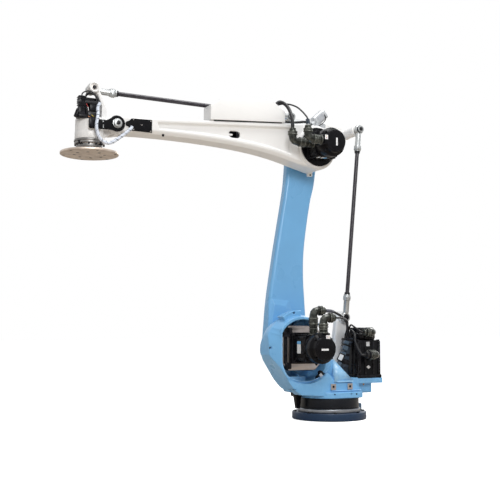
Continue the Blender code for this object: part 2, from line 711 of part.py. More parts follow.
def build_j2_drive(waist):
    """Gearbox case in the bowl, machined adapter plate and the lower arm's motor."""
    plate_far = PLATE_NEAR_Y - PLATE_T
    case = turned([(0, BOWL_FLOOR_Y + GAP), (J2_CASE_R + 0.003, BOWL_FLOOR_Y + GAP),
                   (J2_CASE_R + 0.003, BOWL_FLOOR_Y + 0.016), (J2_CASE_R, BOWL_FLOOR_Y + 0.018),
                   (J2_CASE_R, plate_far - GAP), (0, plate_far - GAP)], "Y", (J2_X, 0, J2_Z))
    slots = [block((J2_X + 0.118, BOWL_FLOOR_Y - 0.01, J2_Z - 0.0053),
                   (J2_X + 0.160, BOWL_FLOOR_Y + 0.030, J2_Z + 0.0053))
             for _ in range(BOWL_RIB_COUNT)]
    for i, slot in enumerate(slots):
        turn = Matrix.Rotation(math.radians(-360.0 * (i + 0.5) / BOWL_RIB_COUNT), 4, "Y")
        spot = Matrix.Translation((J2_X, 0, J2_Z))
        slot.transform(spot @ turn @ spot.inverted())
    add_piece("j2_reducer_case", case, DRUM_BLACK, waist, cut=[merged(slots)])
    half = PLATE_SIDE / 2
    inner = half - PLATE_CUT
    corners = [(half, inner), (inner, half), (-inner, half), (-half, inner),
               (-half, -inner), (-inner, -half), (inner, -half), (half, -inner)]
    outline = [(J2_X + x, J2_Z + z) for x, z in corners]
    bolts = [disc(0.008, PLATE_NEAR_Y - 0.014, PLATE_NEAR_Y + 0.01, "Y",
                  (J2_X + sx * 0.097, 0, J2_Z + sz * 0.097), steps=12)
             for sx in (-1, 1) for sz in (-1, 1)]
    add_piece("j2_adapter_plate", plate(outline, PLATE_NEAR_Y, plate_far, 0.003), ALUMINIUM,
              waist, cut=[merged(bolts)])
    place = servo_place((J2_X, PLATE_NEAR_Y + GAP, J2_Z), (0, 1, 0), (0, 0, 1))
    return servo("j2", place, J2_MOTOR_LENGTH, (J2_FLANGE, J2_FLANGE_T), waist, ARM_REACHES)


def build_link_bracket(waist):
    """The fixed lever that carries the rear rod's foot."""
    pivot = Vector((J2_X, 0, J2_Z)) + REAR_LINK_OFFSET
    foot = PEDESTAL_TOP + GAP
    outline = [(-0.092, foot), (-0.094, foot + 0.050), (-0.104, foot + 0.140),
               (pivot.x + 0.046, pivot.z - 0.028)]
    outline += arc(pivot.x, pivot.z, 0.040, -10, 190, 14)
    outline += [(pivot.x - 0.042, pivot.z - 0.060), (-0.186, foot + 0.130),
                (-0.172, foot + 0.040), (-0.170, foot)]
    seat = REAR_ROD_Y - EYE_T / 2 - 0.0075
    near = PEDESTAL_Y - 0.0015
    bracket = loft([side_loop(shrink(outline, edge), y) for y, edge in
                    ((-0.144, 0.006), (-0.138, 0.0), (near - 0.006, 0.0), (near, 0.006))])
    eye = disc(0.035, near - 0.020, seat, "Y", (pivot.x, 0, pivot.z), 0.003, steps=24)
    add_piece("link_bracket", bracket, WHITE, waist, joined=[eye])
    ball_pin("link_bracket_pin", (pivot.x, REAR_ROD_Y, pivot.z), seat + GAP, 1, waist, BLACK)


def build_waist_cables(waist, ends):
    """Connector stack beside the swivel motor, and the motor cables that end in it."""
    j1_power, j1_encoder, j2_power, j2_encoder = ends
    neck = MOTOR_PAD_TOP - PAD_NECK_DROP + GAP
    levels = ((neck, -0.086, 0.021, 0.018), (0.300, -0.086, 0.021, 0.018),
              (0.302, -0.081, 0.024, 0.026), (0.364, -0.088, 0.024, 0.026),
              (0.367, -0.095, 0.016, 0.024), (0.444, -0.112, 0.016, 0.024),
              (0.446, -0.113, 0.021, 0.030), (STACK_TOP, -0.118, 0.021, 0.030))
    stack = loft([[(x - w, 0.030 - d, z), (x + w, 0.030 - d, z), (x + w, 0.030 + d, z),
                   (x - w, 0.030 + d, z)] for z, x, w, d in levels])
    add_piece("connector_stack", stack, BLUE_GREY, waist)
    top = Vector((-0.118, 0.030, STACK_TOP + CABLE_END_GAP))
    port = top + Vector((0.004, -0.014, 0))
    tube("j2_power_cable", [j2_power, j2_power + Vector((-0.016, 0, 0)),
                            j2_power + Vector((-0.060, -0.022, -0.002)),
                            j2_power + Vector((-0.150, -0.080, -0.022)),
                            Vector((-0.080, 0.074, 0.580)), Vector((-0.116, 0.030, 0.530)),
                            port + Vector((0, 0, 0.014)), port], POWER_CABLE_R, CABLE, waist)
    port = top + Vector((0.008, 0.006, 0))
    tube("j2_encoder_cable", [j2_encoder, j2_encoder + Vector((-0.014, 0, 0)),
                              j2_encoder + Vector((-0.070, -0.040, -0.001)),
                              j2_encoder + Vector((-0.170, -0.140, -0.016)),
                              Vector((-0.074, 0.100, 0.556)), Vector((-0.106, 0.052, 0.516)),
                              port + Vector((0, 0, 0.014)), port],
         ENCODER_CABLE_R, CABLE, waist)
    port = top + Vector((-0.009, 0.018, 0))
    tube("j1_power_cable", [j1_power, j1_power + Vector((0.016, 0, 0)),
                            j1_power + Vector((0.034, -0.012, 0.008)),
                            Vector((-0.112, 0.125, 0.450)), port + Vector((-0.004, 0.040, 0.018)),
                            port + Vector((0.002, 0.014, 0.042)),
                            port + Vector((0, 0, 0.014)), port], POWER_CABLE_R, CABLE, waist)
    port = top + Vector((-0.011, -0.012, 0))
    tube("j1_encoder_cable", [j1_encoder, j1_encoder + Vector((0.014, 0, 0)),
                              Vector((-0.108, 0.118, 0.545)), Vector((-0.122, 0.062, 0.556)),
                              port + Vector((-0.006, 0, 0.050)),
                              port + Vector((0, 0, 0.014)), port],
         ENCODER_CABLE_R, CABLE, waist)


# Lower arm, with Z along the arm
def lower_arm_outline(setback):
    """Side view: hub, long taper leaning forward, waisted rear, small hub."""
    length = LOWER_ARM_LENGTH
    front = smooth_run([(0.147, 0.045), (0.1455, 0.170), (0.142, 0.310), (0.133, 0.450),
                        (0.123, 0.590), (0.110, 0.740), (0.098, 0.880), (0.091, 1.000),
                        (0.093, length - 0.075)], 2)
    front = [(x - setback, z) for x, z in front]
    top = arc(0, length, UPPER_HUB_R, -26, 206, 18)
    rear = smooth_run([(-0.113, length - 0.075), (-0.106, 1.010), (-0.089, 0.900),
                       (-0.076, 0.730), (-0.072, 0.580), (-0.083, 0.430), (-0.107, 0.275),
                       (-0.132, 0.120)], 3)
    hub = arc(0, 0, LOWER_HUB_R, 146, 370, 22)
    return front + top[1:-1] + rear[1:-1] + hub[:-1]


def build_lower_arm(arm):
    """The cast lower arm and the flanges on its two hubs."""
    length = LOWER_ARM_LENGTH
    levels = ((ARM_FAR_Y, 0.030, 0.010), (ARM_FAR_Y + 0.010, 0.024, 0.003),
              (ARM_FAR_Y + 0.040, 0.004, 0.0), (ARM_NEAR_Y - 0.016, 0.0, 0.0),
              (ARM_NEAR_Y - 0.004, 0.002, 0.004), (ARM_NEAR_Y, 0.004, 0.010))
    cast = loft([side_loop(shrink(lower_arm_outline(setback), edge), y)
                 for y, setback, edge in levels])
    hub = disc(LOWER_HUB_R - 0.012, ARM_FAR_Y + 0.030, HUB_NEAR_Y, "Y", edge=0.004,
               steps=LARGE_ROUND)
    ramp = loft([side_loop(shape, y) for shape, y in (
        ([(-0.100, 0.040), (0.010, 0.281), (0.127, 0.281), (0.136, 0.040)], ARM_NEAR_Y - 0.006),
        ([(-0.096, 0.040), (0.014, 0.276), (0.123, 0.276), (0.131, 0.040)], ARM_NEAR_Y + 0.002),
        ([(-0.080, 0.040), (0.038, 0.246), (0.112, 0.246), (0.122, 0.040)],
         HUB_NEAR_Y - 0.001))])
    far_hub = disc(0.092, ARM_FAR_Y - 0.008, ARM_FAR_Y + 0.020, "Y", edge=0.004)
    far_top = disc(0.078, ARM_FAR_Y - 0.0055, ARM_FAR_Y + 0.020, "Y", (0, 0, length), 0.003)
    add_piece("lower_arm", cast, SKY_BLUE, arm, joined=[hub, ramp, far_hub, far_top])
    add_piece("j2_output_flange",
              disc(J2_OUTPUT_R, HUB_NEAR_Y + GAP, BOWL_FLOOR_Y - RUNNING_GAP, "Y", edge=0.002),
              STEEL, arm)
    add_piece("j3_bearing_flange",
              disc(J3_OUTPUT_R, ARM_NEAR_Y + GAP, -UPPER_HALF_Y - RUNNING_GAP, "Y",
                   (0, 0, length), 0.002), STEEL, arm)
    link_far = LINK_NEAR_Y - LINK_T
    pin = turned([(0, ARM_FAR_Y - 0.0055 - GAP), (ELBOW_PIN_R, ARM_FAR_Y - 0.0055 - GAP),
                  (ELBOW_PIN_R, link_far - 2 * GAP), (0.044, link_far - 2 * GAP),
                  (0.044, link_far - 0.009), (0.040, link_far - 0.012), (0, link_far - 0.012)],
                 "Y", (0, 0, length))
    add_piece("elbow_pivot_pin", pin, STEEL, arm)


# Elbow link, level
def build_elbow_link(link):
    """The triangular lever on the far side of the elbow, with its two long bosses."""
    rear = REAR_LINK_OFFSET
    front = FRONT_LINK_OFFSET
    outline = arc(rear.x, rear.z, 0.037, 245, 85, 10)
    outline += [(rear.x + 0.190, rear.z + 0.058), (rear.x + 0.330, rear.z + 0.068),
                (front.x - 0.080, front.z + 0.052)]
    outline += arc(front.x, front.z, 0.035, 85, -20, 8)
    outline += arc(0.0, 0.0, 0.068, 15, -110, 10)
    outline.append((rear.x + 0.200, rear.z - 0.122))
    far = LINK_NEAR_Y - LINK_T
    body = plate(outline, LINK_NEAR_Y, far, 0.005)
    rear_seat = REAR_ROD_Y - EYE_T / 2 - 0.014
    front_seat = FRONT_ROD_Y - EYE_T / 2 - 0.007
    rear_boss = disc(REAR_BOSS_R, far + 0.004, rear_seat, "Y", (rear.x, 0, rear.z), 0.003, 24)
    front_boss = disc(FRONT_BOSS_R, far + 0.004, front_seat, "Y", (front.x, 0, front.z), 0.003,
                      24)
    bore = disc(ELBOW_PIN_R + 0.0004, -0.300, -0.150, "Y")
    pocket = plate([(rear.x + 0.070, rear.z - 0.006), (rear.x + 0.180, rear.z + 0.034),
                    (rear.x + 0.290, rear.z + 0.042), (rear.x + 0.315, rear.z - 0.060),
                    (rear.x + 0.220, rear.z - 0.078)], far + 0.010, far - 0.010)
    add_piece("elbow_link", body, WHITE, link, joined=[rear_boss, front_boss],
              cut=[bore, pocket])
    ball_pin("rear_link_pin", (rear.x, REAR_ROD_Y, rear.z), rear_seat + GAP, 1, link, BLACK)
    ball_pin("front_link_pin", (front.x, FRONT_ROD_Y, front.z), front_seat + GAP, 1, link,
             BLACK)


# Upper arm, with X along the arm
def upper_arm_outline(raised):
    """Side view: round elbow, straight tapering top, arched underside, fork end."""
    length = UPPER_ARM_LENGTH
    elbow = arc(0.0, 0.0, ELBOW_R, 264, 88, 20)
    top = [(0.160, 0.1285), (0.300, 0.1180), (0.600, 0.0945), (0.900, 0.0700), (1.130, 0.0500),
           (length - 0.030, 0.0455)]
    nose = arc(length, 0.0, FORK_R, 90, -90, 12)
    under = smooth_run([(length, -FORK_R), (length - 0.085, -0.032), (0.950, -0.0275),
                        (0.750, -0.0300), (0.560, -0.0390), (0.380, -0.0560), (0.220, -0.0840),
                        (0.080, -0.1190), elbow[0]], 3)
    lift = [min(1.0, max(0.0, (x - 0.02) / 0.10), max(0.0, (length - 0.07 - x) / 0.08))
            for x, _ in under]
    under = [(x, z + raised * share) for (x, z), share in zip(under, lift)]
    return elbow + top + nose[:-1] + under[:-1]


def recess_outline():
    """The web pocket between the arm's flanges, measured in from the outline."""
    top = [(0.175, 0.104), (0.300, 0.096), (0.600, 0.0735), (0.900, 0.0500), (1.020, 0.0400)]
    under = smooth_run([(1.010, 0.0020), (0.750, 0.0030), (0.560, -0.0050), (0.380, -0.0210),
                        (0.240, -0.0450), (0.175, -0.0600)], 3)
    return top + under


def build_upper_arm(arm):
    """The white upper arm casting with its fork, pockets and elbow face."""
    length = UPPER_ARM_LENGTH
    half = UPPER_HALF_Y
    cast = loft([side_loop(shrink(upper_arm_outline(raised), edge), side * y)
                 for side, y, raised, edge in (
                     (-1, half, 0.0155, 0.004), (-1, half - 0.004, 0.0135, 0.0),
                     (-1, half - 0.018, 0.0, 0.0), (1, half - 0.018, 0.0, 0.0),
                     (1, half - 0.004, 0.0135, 0.0), (1, half, 0.0155, 0.004))])
    elbow_boss = disc(ELBOW_BOSS_R, half - 0.020, ELBOW_BOSS_Y, "Y", edge=0.005,
                      steps=LARGE_ROUND)
    lug = plate([(-0.046, -0.100), (-0.046, -0.153), (-0.012, -0.155), (-0.012, -0.110)],
                -half + 0.026, -half + 0.006, 0.002)
    lug_hole = disc(0.005, -0.1, 0.1, "Y", (-0.029, 0, -0.1455), steps=8)
    hood_pad = block((-0.103, -0.028, 0.080), (-0.027, 0.028, HOOD_SEAT_Z), 0.003)
    pocket = recess_outline()
    pockets = [loft([side_loop(pocket, side * (half + 0.010)),
                     side_loop(pocket, side * half),
                     side_loop(shrink(pocket, 0.010), side * (half - RECESS_DEPTH))])
               for side in (1, -1)]
    slot = block((length - FORK_SLOT_DEPTH, -FORK_SLOT_HALF, -0.100),
                 (length + 0.100, FORK_SLOT_HALF, 0.100))
    obround = plate(arc(0.556, 0.026, 0.020, -90, 90, 8) + arc(0.522, 0.026, 0.020, 90, 270, 8),
                    0.100, -0.100)
    pin_bore = disc(WRIST_PIN_R + 0.0004, -0.100, 0.100, "Y", (length, 0, 0), steps=20)
    add_piece("upper_arm", cast, WHITE, arm, joined=[elbow_boss, lug, hood_pad],
              cut=[*pockets, slot, obround, pin_bore, lug_hole])


def build_j3_drive(arm):
    """The black motor disc on the elbow and the upper arm's motor."""
    disc_near = ELBOW_BOSS_Y + GAP + J3_DISC_T
    add_piece("j3_motor_flange",
              disc(J3_DISC_R, ELBOW_BOSS_Y + GAP, disc_near, "Y", edge=0.002,
                   steps=LARGE_ROUND), BLACK, arm)
    place = servo_place((0, disc_near + GAP, 0), (0, 1, 0), (1, 0, 0))
    return servo("j3", place, J3_MOTOR_LENGTH, (0.164, J3_FLANGE_T), arm, ARM_REACHES)


def cover_outline():
    """The cable cover's side view, its foot along the arm's top."""
    return [(0.218, 0.1244 + COVER_FOOT_GAP), (0.219, 0.191), (0.303, 0.251), (0.622, 0.226),
            (0.700, 0.178), (0.700, 0.0866 + COVER_FOOT_GAP)]


def build_arm_fittings(arm, ends):
    """Cover, connector hood, cable plate and the cables between them."""
    outline = cover_outline()
    cover = plate(outline, COVER_NEAR_Y, COVER_FAR_Y, 0.002)
    foot = plate([(0.228, 0.120), (0.228, 0.150), (0.690, 0.115), (0.690, 0.0800)],
                 COVER_NEAR_Y - 0.012, COVER_FAR_Y + 0.008)
    under = plate([(0.200, 0.1262 + GAP), (0.200, 0.060), (0.720, 0.060), (0.720, 0.0852 + GAP)],
                  0.150, -0.150)
    add_piece("cable_cover", cover, WHITE, arm, joined=[foot], cut=[under])
    hood = block((-0.010, -0.026, 0.004), (0.092, 0.026, 0.062), 0.008)
    collar = turned([(0, -0.034), (0.015, -0.034), (0.019, -0.028), (0.019, -0.008),
                     (0.023, -0.006), (0.023, 0.006), (0, 0.006)], "X", (0, 0, 0.033), 18)
    seat = block((-0.098, -0.024, HOOD_SEAT_Z + GAP), (-0.032, 0.024, HOOD_SEAT_Z + 0.030), 0.003)
    hood_place = (Matrix.Translation((-0.055, 0, HOOD_SEAT_Z + 0.016))
                  @ Matrix.Rotation(math.radians(42), 4, "Y") @ Matrix.Scale(-1, 4, (1, 0, 0)))
    for form in (hood, collar):
        form.transform(hood_place)
        bmesh.ops.reverse_faces(form, faces=form.faces)
    add_piece("connector_hood", hood, PALE_GREY, arm, joined=[collar, seat])
    nose = hood_place @ Vector((-0.034 - CABLE_END_GAP, 0, 0.033))
    tube("hood_cable", [nose, nose + Vector((0.008, 0, -0.0055)), Vector((0.060, 0.008, 0.1460)),
                        Vector((0.150, 0.020, 0.1425)), Vector((0.2165, 0.024, 0.150))],
         0.0075, CABLE, arm)
    power, encoder = ends
    slope = (Vector(outline[2]) - Vector(outline[1])).normalized()
    out = Vector((-slope.y, 0, slope.x))
    leave = Vector((0.270, 0.050, 0.2275)) + CABLE_END_GAP * out
    tube("j3_power_cable", [leave, leave + CABLE_RISE * out, Vector((0.226, 0.112, 0.226)),
                            power + Vector((0.002, -0.012, 0.066)),
                            power + Vector((0, 0, 0.020)), power], ARM_CABLE_R, CABLE, arm)
    leave = Vector((0.262, 0.010, 0.2218)) + CABLE_END_GAP * out
    tube("j3_encoder_cable", [leave, leave + CABLE_RISE * out, Vector((0.204, 0.120, 0.247)),
                              Vector((0.182, 0.215, 0.195)),
                              encoder + Vector((0, -0.004, 0.040)),
                              encoder + Vector((0, 0, 0.014)), encoder], 0.0048, CABLE, arm)
    tab = arc(1.190, 0.010, 0.014, 90, -90, 6)
    plate_outline = [(1.052, -0.026), (1.052, 0.046), (1.168, 0.042), (1.180, 0.030)]
    plate_outline += tab[:1] + tab[1:] + [(1.168, -0.026)]
    add_piece("wrist_cable_plate",
              plate(plate_outline, UPPER_HALF_Y + GAP + 0.005, UPPER_HALF_Y + GAP, 0.001),
              BLACK, arm)


# Wrist head, level, with its origin on the wrist axis
def build_wrist(head):
    """The white wrist casting: hub, gearbox housing and the lever to the front rod."""
    lift = FRONT_LINK_OFFSET
    centre = (TOOL_OFFSET, 0, 0)
    housing = turned([(0, HOUSING_BOTTOM), (HOUSING_R - 0.004, HOUSING_BOTTOM),
                      (HOUSING_R, HOUSING_BOTTOM + 0.004), (HOUSING_R, HOUSING_TOP - 0.012),
                      (HOUSING_R - 0.008, HOUSING_TOP), (0, HOUSING_TOP)], "Z", centre, 40)
    hub = disc(WRIST_HUB_R, -FORK_SLOT_HALF + GAP, FORK_SLOT_HALF - GAP, "Y", edge=0.003)
    neck = loft([[(x, y, z) for y, z in ((-w, low), (w, low), (w, high), (-w, high))]
                 for x, w, low, high in ((0.010, 0.0425, -0.046, 0.030),
                                         (0.049, 0.0435, -0.066, 0.032),
                                         (0.080, 0.0600, -0.080, 0.030))])
    lever = loft([side_loop(shrink(shape, edge), y) for y, edge in
                  ((-0.032, 0.003), (-0.028, 0.0), (0.006, 0.0), (0.010, 0.003))
                  for shape in ([(0.010, 0.012), (0.014, 0.040), (0.038, 0.110),
                                 (0.062, lift.z - 0.035), (lift.x - 0.027, lift.z + 0.002),
                                 (lift.x, lift.z + 0.026), (lift.x + 0.025, lift.z),
                                 (lift.x + 0.008, lift.z - 0.026), (0.084, lift.z - 0.036),
                                 (TOOL_OFFSET - J4_MOTOR_R - 0.013, 0.110),
                                 (TOOL_OFFSET - J4_MOTOR_R - 0.013, 0.036),
                                 (0.058, 0.010)],)])
    boss = disc(0.0305, LINK_BOSS_FAR_Y, LINK_BOSS_NEAR_Y, "Y", (lift.x, 0, lift.z), 0.003)
    sink = disc(0.019, LINK_BOSS_NEAR_Y - 0.008, LINK_BOSS_NEAR_Y + 0.02, "Y",
                (lift.x, 0, lift.z), steps=24)
    pin_bore = disc(WRIST_PIN_R + GAP, -0.100, 0.100, "Y", steps=20)
    pad = block((0.082, 0.056, -0.036), (0.150, TORQUE_LEVER_Y - GAP, 0.008), 0.002)
    add_piece("wrist_head", housing, WHITE, head, joined=[hub, neck, lever, boss, pad],
              cut=[sink, pin_bore])
    ball_pin("wrist_link_pin", (lift.x, FRONT_ROD_Y, lift.z), LINK_BOSS_FAR_Y - GAP, -1, head,
             ZINC)
    lever_near = TORQUE_LEVER_Y + TORQUE_LEVER_T
    lever_shape = arc(0, 0, 0.044, 34, 298, 22)
    lever_shape += [(0.046, -0.037), (0.148, -0.041), (0.155, -0.034), (0.155, 0.004),
                    (0.146, 0.014), (0.060, 0.012)]
    bore = disc(WRIST_PIN_R + GAP, 0.0, 0.200, "Y", steps=20)
    add_piece("wrist_torque_lever", plate(lever_shape, lever_near, TORQUE_LEVER_Y, 0.002),
              BLACK, head, cut=[bore])
    head_y = -UPPER_HALF_Y - 2 * GAP
    pin = turned([(0, head_y - 0.010), (0.026, head_y - 0.010), (0.030, head_y - 0.006),
                  (0.030, head_y), (WRIST_PIN_R, head_y), (WRIST_PIN_R, lever_near + GAP),
                  (0.026, lever_near + GAP), (0.026, lever_near + 0.003),
                  (0.0225, lever_near + 0.003), (0.0225, lever_near + 0.014),
                  (0.020, lever_near + 0.016), (0.011, lever_near + 0.016),
                  (0.011, lever_near + 0.020), (0, lever_near + 0.020)], "Y", steps=24)
    spacer = ring(WRIST_PIN_R - 0.002, 0.028, UPPER_HALF_Y + 2 * GAP, TORQUE_LEVER_Y - GAP, "Y",
                  steps=24)
    add_piece("wrist_pin", pin, ZINC, head, joined=[spacer])


def build_j4_drive(head):
    """The tool motor on the head, and the gearbox under it."""
    place = Matrix.Translation((TOOL_OFFSET + J4_SHIFT, 0, HOUSING_TOP + GAP))
    tall = J4_MOTOR_TOP - HOUSING_TOP
    motor = loft([rounded_square(0.104, 0.010, 0.0), rounded_square(0.104, 0.010, 0.012),
                  rounded_square(0.084, 0.012, 0.014), rounded_square(0.084, 0.012, tall)])
    motor.transform(place)
    add_piece("j4_motor", motor, BLACK, head)
    cap_tall = J4_CAP_TOP - J4_MOTOR_TOP
    cap = loft([rounded_square(0.092, 0.020, 0.0), rounded_square(0.106, 0.024, 0.008),
                rounded_square(0.106, 0.024, cap_tall - 0.010),
                rounded_square(0.088, 0.026, cap_tall)])
    cap.transform(Matrix.Translation((TOOL_OFFSET + J4_SHIFT, 0, J4_MOTOR_TOP + 2 * GAP)))
    add_piece("j4_motor_cap", cap, BLACK, head)
    top = J4_CAP_TOP + CABLE_END_GAP
    tube("j4_motor_lead", [Vector((TOOL_OFFSET + 0.034, 0.034, top)),
                           Vector((TOOL_OFFSET + 0.033, 0.0345, top + 0.014)),
                           Vector((TOOL_OFFSET + 0.006, 0.042, top + 0.024)),
                           Vector((TOOL_OFFSET - 0.022, 0.048, top + 0.014)),
                           Vector((TOOL_OFFSET - 0.034, 0.060, top - 0.012)),
                           Vector((TOOL_OFFSET - 0.036, 0.064, top - 0.036))],
         0.0045, CABLE, head)
    case = turned([(0, REDUCER_BOTTOM), (REDUCER_R, REDUCER_BOTTOM),
                   (REDUCER_R, HOUSING_BOTTOM - 0.027), (REDUCER_FLANGE_R - 0.002,
                                                         HOUSING_BOTTOM - 0.027),
                   (REDUCER_FLANGE_R, HOUSING_BOTTOM - 0.025),
                   (REDUCER_FLANGE_R, HOUSING_BOTTOM - GAP), (0, HOUSING_BOTTOM - GAP)],
                  "Z", (TOOL_OFFSET, 0, 0), 40)
    add_piece("j4_reducer_case", case, STEEL, head)


def build_wrist_cable(head):
    """The wrapped lead that loops under the wrist axis to the arm's cable plate."""
    near = TORQUE_LEVER_Y + TORQUE_LEVER_T + SLEEVE_R + 0.003
    route = [(TOOL_OFFSET - 0.056, 0.068, 0.116), (TOOL_OFFSET - 0.055, 0.078, 0.070),
             (TOOL_OFFSET - 0.042, near, 0.028), (TOOL_OFFSET - 0.040, near, -0.020),
             (TOOL_OFFSET - 0.046, near, -0.066), (0.046, near, -0.104),
             (0.006, near, -0.106), (-0.034, near, -0.072), (-0.062, near, -0.036),
             (-0.080, near - 0.004, -0.012)]
    tube("wrist_cable", [Vector(p) for p in route], SLEEVE_R, SLEEVE, head)


def build_tool(tool):
    """The turning flange and the machined tool disc."""
    add_piece("tool_output_flange",
              disc(0.068, TOOL_DISC_TOP + GAP, REDUCER_BOTTOM - GAP, edge=0.001), BLACK, tool)
    under = TOOL_DISC_TOP - TOOL_DISC_T
    face = disc(TOOL_DISC_R, under, TOOL_DISC_TOP, edge=0.0015, steps=LARGE_ROUND)
    holes = [hole_circle(circle, count, hole, under - 0.01, TOOL_DISC_TOP + 0.01, steps=8)
             for circle, count, hole in TOOL_HOLES]
    add_piece("tool_disc", face, TOOL_STEEL, tool, cut=holes)


start_empty()

SKY_BLUE = finish("sky_blue_enamel", (0.17, 0.43, 0.73), 0.35)
WHITE = finish("white_enamel", (0.82, 0.82, 0.81), 0.38)
NAVY = finish("navy_enamel", (0.015, 0.035, 0.08), 0.45)
DRUM_BLACK = finish("blue_black_enamel", (0.012, 0.016, 0.024), 0.42)
BLUE_GREY = finish("blue_grey_enamel", (0.10, 0.17, 0.26), 0.5)
BLACK = finish("satin_black", (0.012, 0.012, 0.014), 0.4)
OLIVE = finish("olive_connector", (0.045, 0.045, 0.035), 0.35, 0.7)
CHARCOAL = finish("charcoal_tube", (0.03, 0.028, 0.034), 0.32, 0.5)
ZINC = finish("zinc_plate", (0.62, 0.64, 0.63), 0.3, 1.0)
STEEL = finish("machined_steel", (0.35, 0.33, 0.31), 0.3, 1.0)
TOOL_STEEL = finish("tool_disc_steel", (0.33, 0.28, 0.24), 0.42, 1.0)
ALUMINIUM = finish("machined_aluminium", (0.62, 0.60, 0.60), 0.28, 1.0)
PALE_GREY = finish("die_cast_grey", (0.55, 0.57, 0.58), 0.4, 0.4)
CABLE = finish("cable_jacket", (0.012, 0.012, 0.015), 0.45)
SLEEVE = finish("pale_sleeve", (0.62, 0.66, 0.74), 0.6)

BASE = body_frame("base_body", None, (0, 0, 0))
WAIST = body_frame("waist_body", BASE, (0, 0, 0))
LOWER = body_frame("lower_arm_body", WAIST, (J2_X, 0, J2_Z), -LOWER_ARM_LEAN)
LINK = body_frame("elbow_link_body", LOWER, (0, 0, LOWER_ARM_LENGTH), LOWER_ARM_LEAN)
UPPER = body_frame("upper_arm_body", LINK, (0, 0, 0), -UPPER_ARM_RISE)
HEAD = body_frame("wrist_body", UPPER, (UPPER_ARM_LENGTH, 0, 0), UPPER_ARM_RISE)
TOOL = body_frame("tool_body", HEAD, (TOOL_OFFSET, 0, 0))
REAR_FOOT = Vector((J2_X, 0, J2_Z)) + REAR_LINK_OFFSET + Vector((0, REAR_ROD_Y, 0))
REAR_ROD = body_frame("rear_rod_body", WAIST, REAR_FOOT, -LOWER_ARM_LEAN)
FRONT_ROD = body_frame("front_rod_body", LINK, FRONT_LINK_OFFSET + Vector((0, FRONT_ROD_Y, 0)),
                       -UPPER_ARM_RISE)

waist_floor_z = build_base(BASE)
build_waist(WAIST, waist_floor_z)
J1_ENDS = build_j1_motor(WAIST)
J2_ENDS = build_j2_drive(WAIST)
build_link_bracket(WAIST)
build_waist_cables(WAIST, (*J1_ENDS, *J2_ENDS))
build_lower_arm(LOWER)
build_elbow_link(LINK)
build_upper_arm(UPPER)
J3_ENDS = build_j3_drive(UPPER)
build_arm_fittings(UPPER, J3_ENDS)
build_wrist(HEAD)
build_j4_drive(HEAD)
build_wrist_cable(HEAD)
build_tool(TOOL)
rod("rear", LOWER_ARM_LENGTH, "Z", REAR_ROD)
rod("front", UPPER_ARM_LENGTH, "X", FRONT_ROD)
bpy.context.view_layer.update()
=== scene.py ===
"""The looks of the palletising arm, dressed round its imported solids."""
import json
import math

import bpy
from mathutils import Matrix, Vector
from mathutils.bvhtree import BVHTree


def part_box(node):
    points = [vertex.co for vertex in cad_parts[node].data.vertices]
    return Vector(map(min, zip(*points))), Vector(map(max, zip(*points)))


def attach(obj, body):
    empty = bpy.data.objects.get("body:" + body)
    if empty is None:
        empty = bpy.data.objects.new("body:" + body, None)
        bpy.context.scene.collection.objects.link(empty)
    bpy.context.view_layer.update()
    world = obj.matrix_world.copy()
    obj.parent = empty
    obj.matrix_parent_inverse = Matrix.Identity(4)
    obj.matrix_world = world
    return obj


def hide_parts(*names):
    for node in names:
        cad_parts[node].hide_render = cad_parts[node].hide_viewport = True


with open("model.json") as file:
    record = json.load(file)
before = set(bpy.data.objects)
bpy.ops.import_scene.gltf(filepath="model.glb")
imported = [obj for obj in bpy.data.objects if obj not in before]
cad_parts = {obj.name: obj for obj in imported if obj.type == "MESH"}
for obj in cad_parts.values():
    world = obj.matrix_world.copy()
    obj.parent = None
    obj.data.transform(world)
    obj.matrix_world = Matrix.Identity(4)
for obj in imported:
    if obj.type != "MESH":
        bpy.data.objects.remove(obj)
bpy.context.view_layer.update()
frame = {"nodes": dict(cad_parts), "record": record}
bpy.context.scene.view_settings.view_transform = "Standard"


# The photograph's view. The camera stands at the height of the motors, in front of the
# arm's near side, and looks slightly up at it.
def added(name, data):
    """A new object in the scene, with its data."""
    piece = bpy.data.objects.new(name, data)
    bpy.context.collection.objects.link(piece)
    return piece


def aimed(way, axis="Z"):
    """The turn that points an axis along a direction."""
    return Vector(way).to_track_quat(axis, "Y").to_euler()


PHOTO_TURN = math.radians(26.6935)
PHOTO_RISE = math.radians(5.1717)
camera_data = bpy.data.cameras.new("photo_camera")
camera_data.lens = 61.55
camera_data.sensor_width = 36.0
camera = added("photo_camera", camera_data)
camera.location = (2.76, 4.4326, 0.5415)
camera.rotation_euler = aimed((-math.sin(PHOTO_TURN) * math.cos(PHOTO_RISE),
                               -math.cos(PHOTO_TURN) * math.cos(PHOTO_RISE),
                               math.sin(PHOTO_RISE)), "-Z")
bpy.context.scene.camera = camera


# The studio: a pale floor under a white surround, a broad lamp over the near side, one
# overhead and a weaker one from behind.
def add_node(tree, kind, links_in=(), **settings):
    """A node with its settings, and its sockets' values and links."""
    node = tree.nodes.new(kind)
    for label, value in settings.items():
        setattr(node, label, value)
    for socket, source in links_in:
        if isinstance(source, bpy.types.NodeSocket):
            tree.links.new(source, node.inputs[socket])
        else:
            node.inputs[socket].default_value = source
    return node


def reckoned(tree, first, second, operation="MULTIPLY"):
    """The result of a maths node on two values."""
    return add_node(tree, "ShaderNodeMath", ((0, first), (1, second)),
                    operation=operation).outputs[0]


def mixed(tree, share, first, second):
    """A colour between two others."""
    return add_node(tree, "ShaderNodeMix", ((0, share), (6, first), (7, second)),
                    data_type="RGBA").outputs[2]


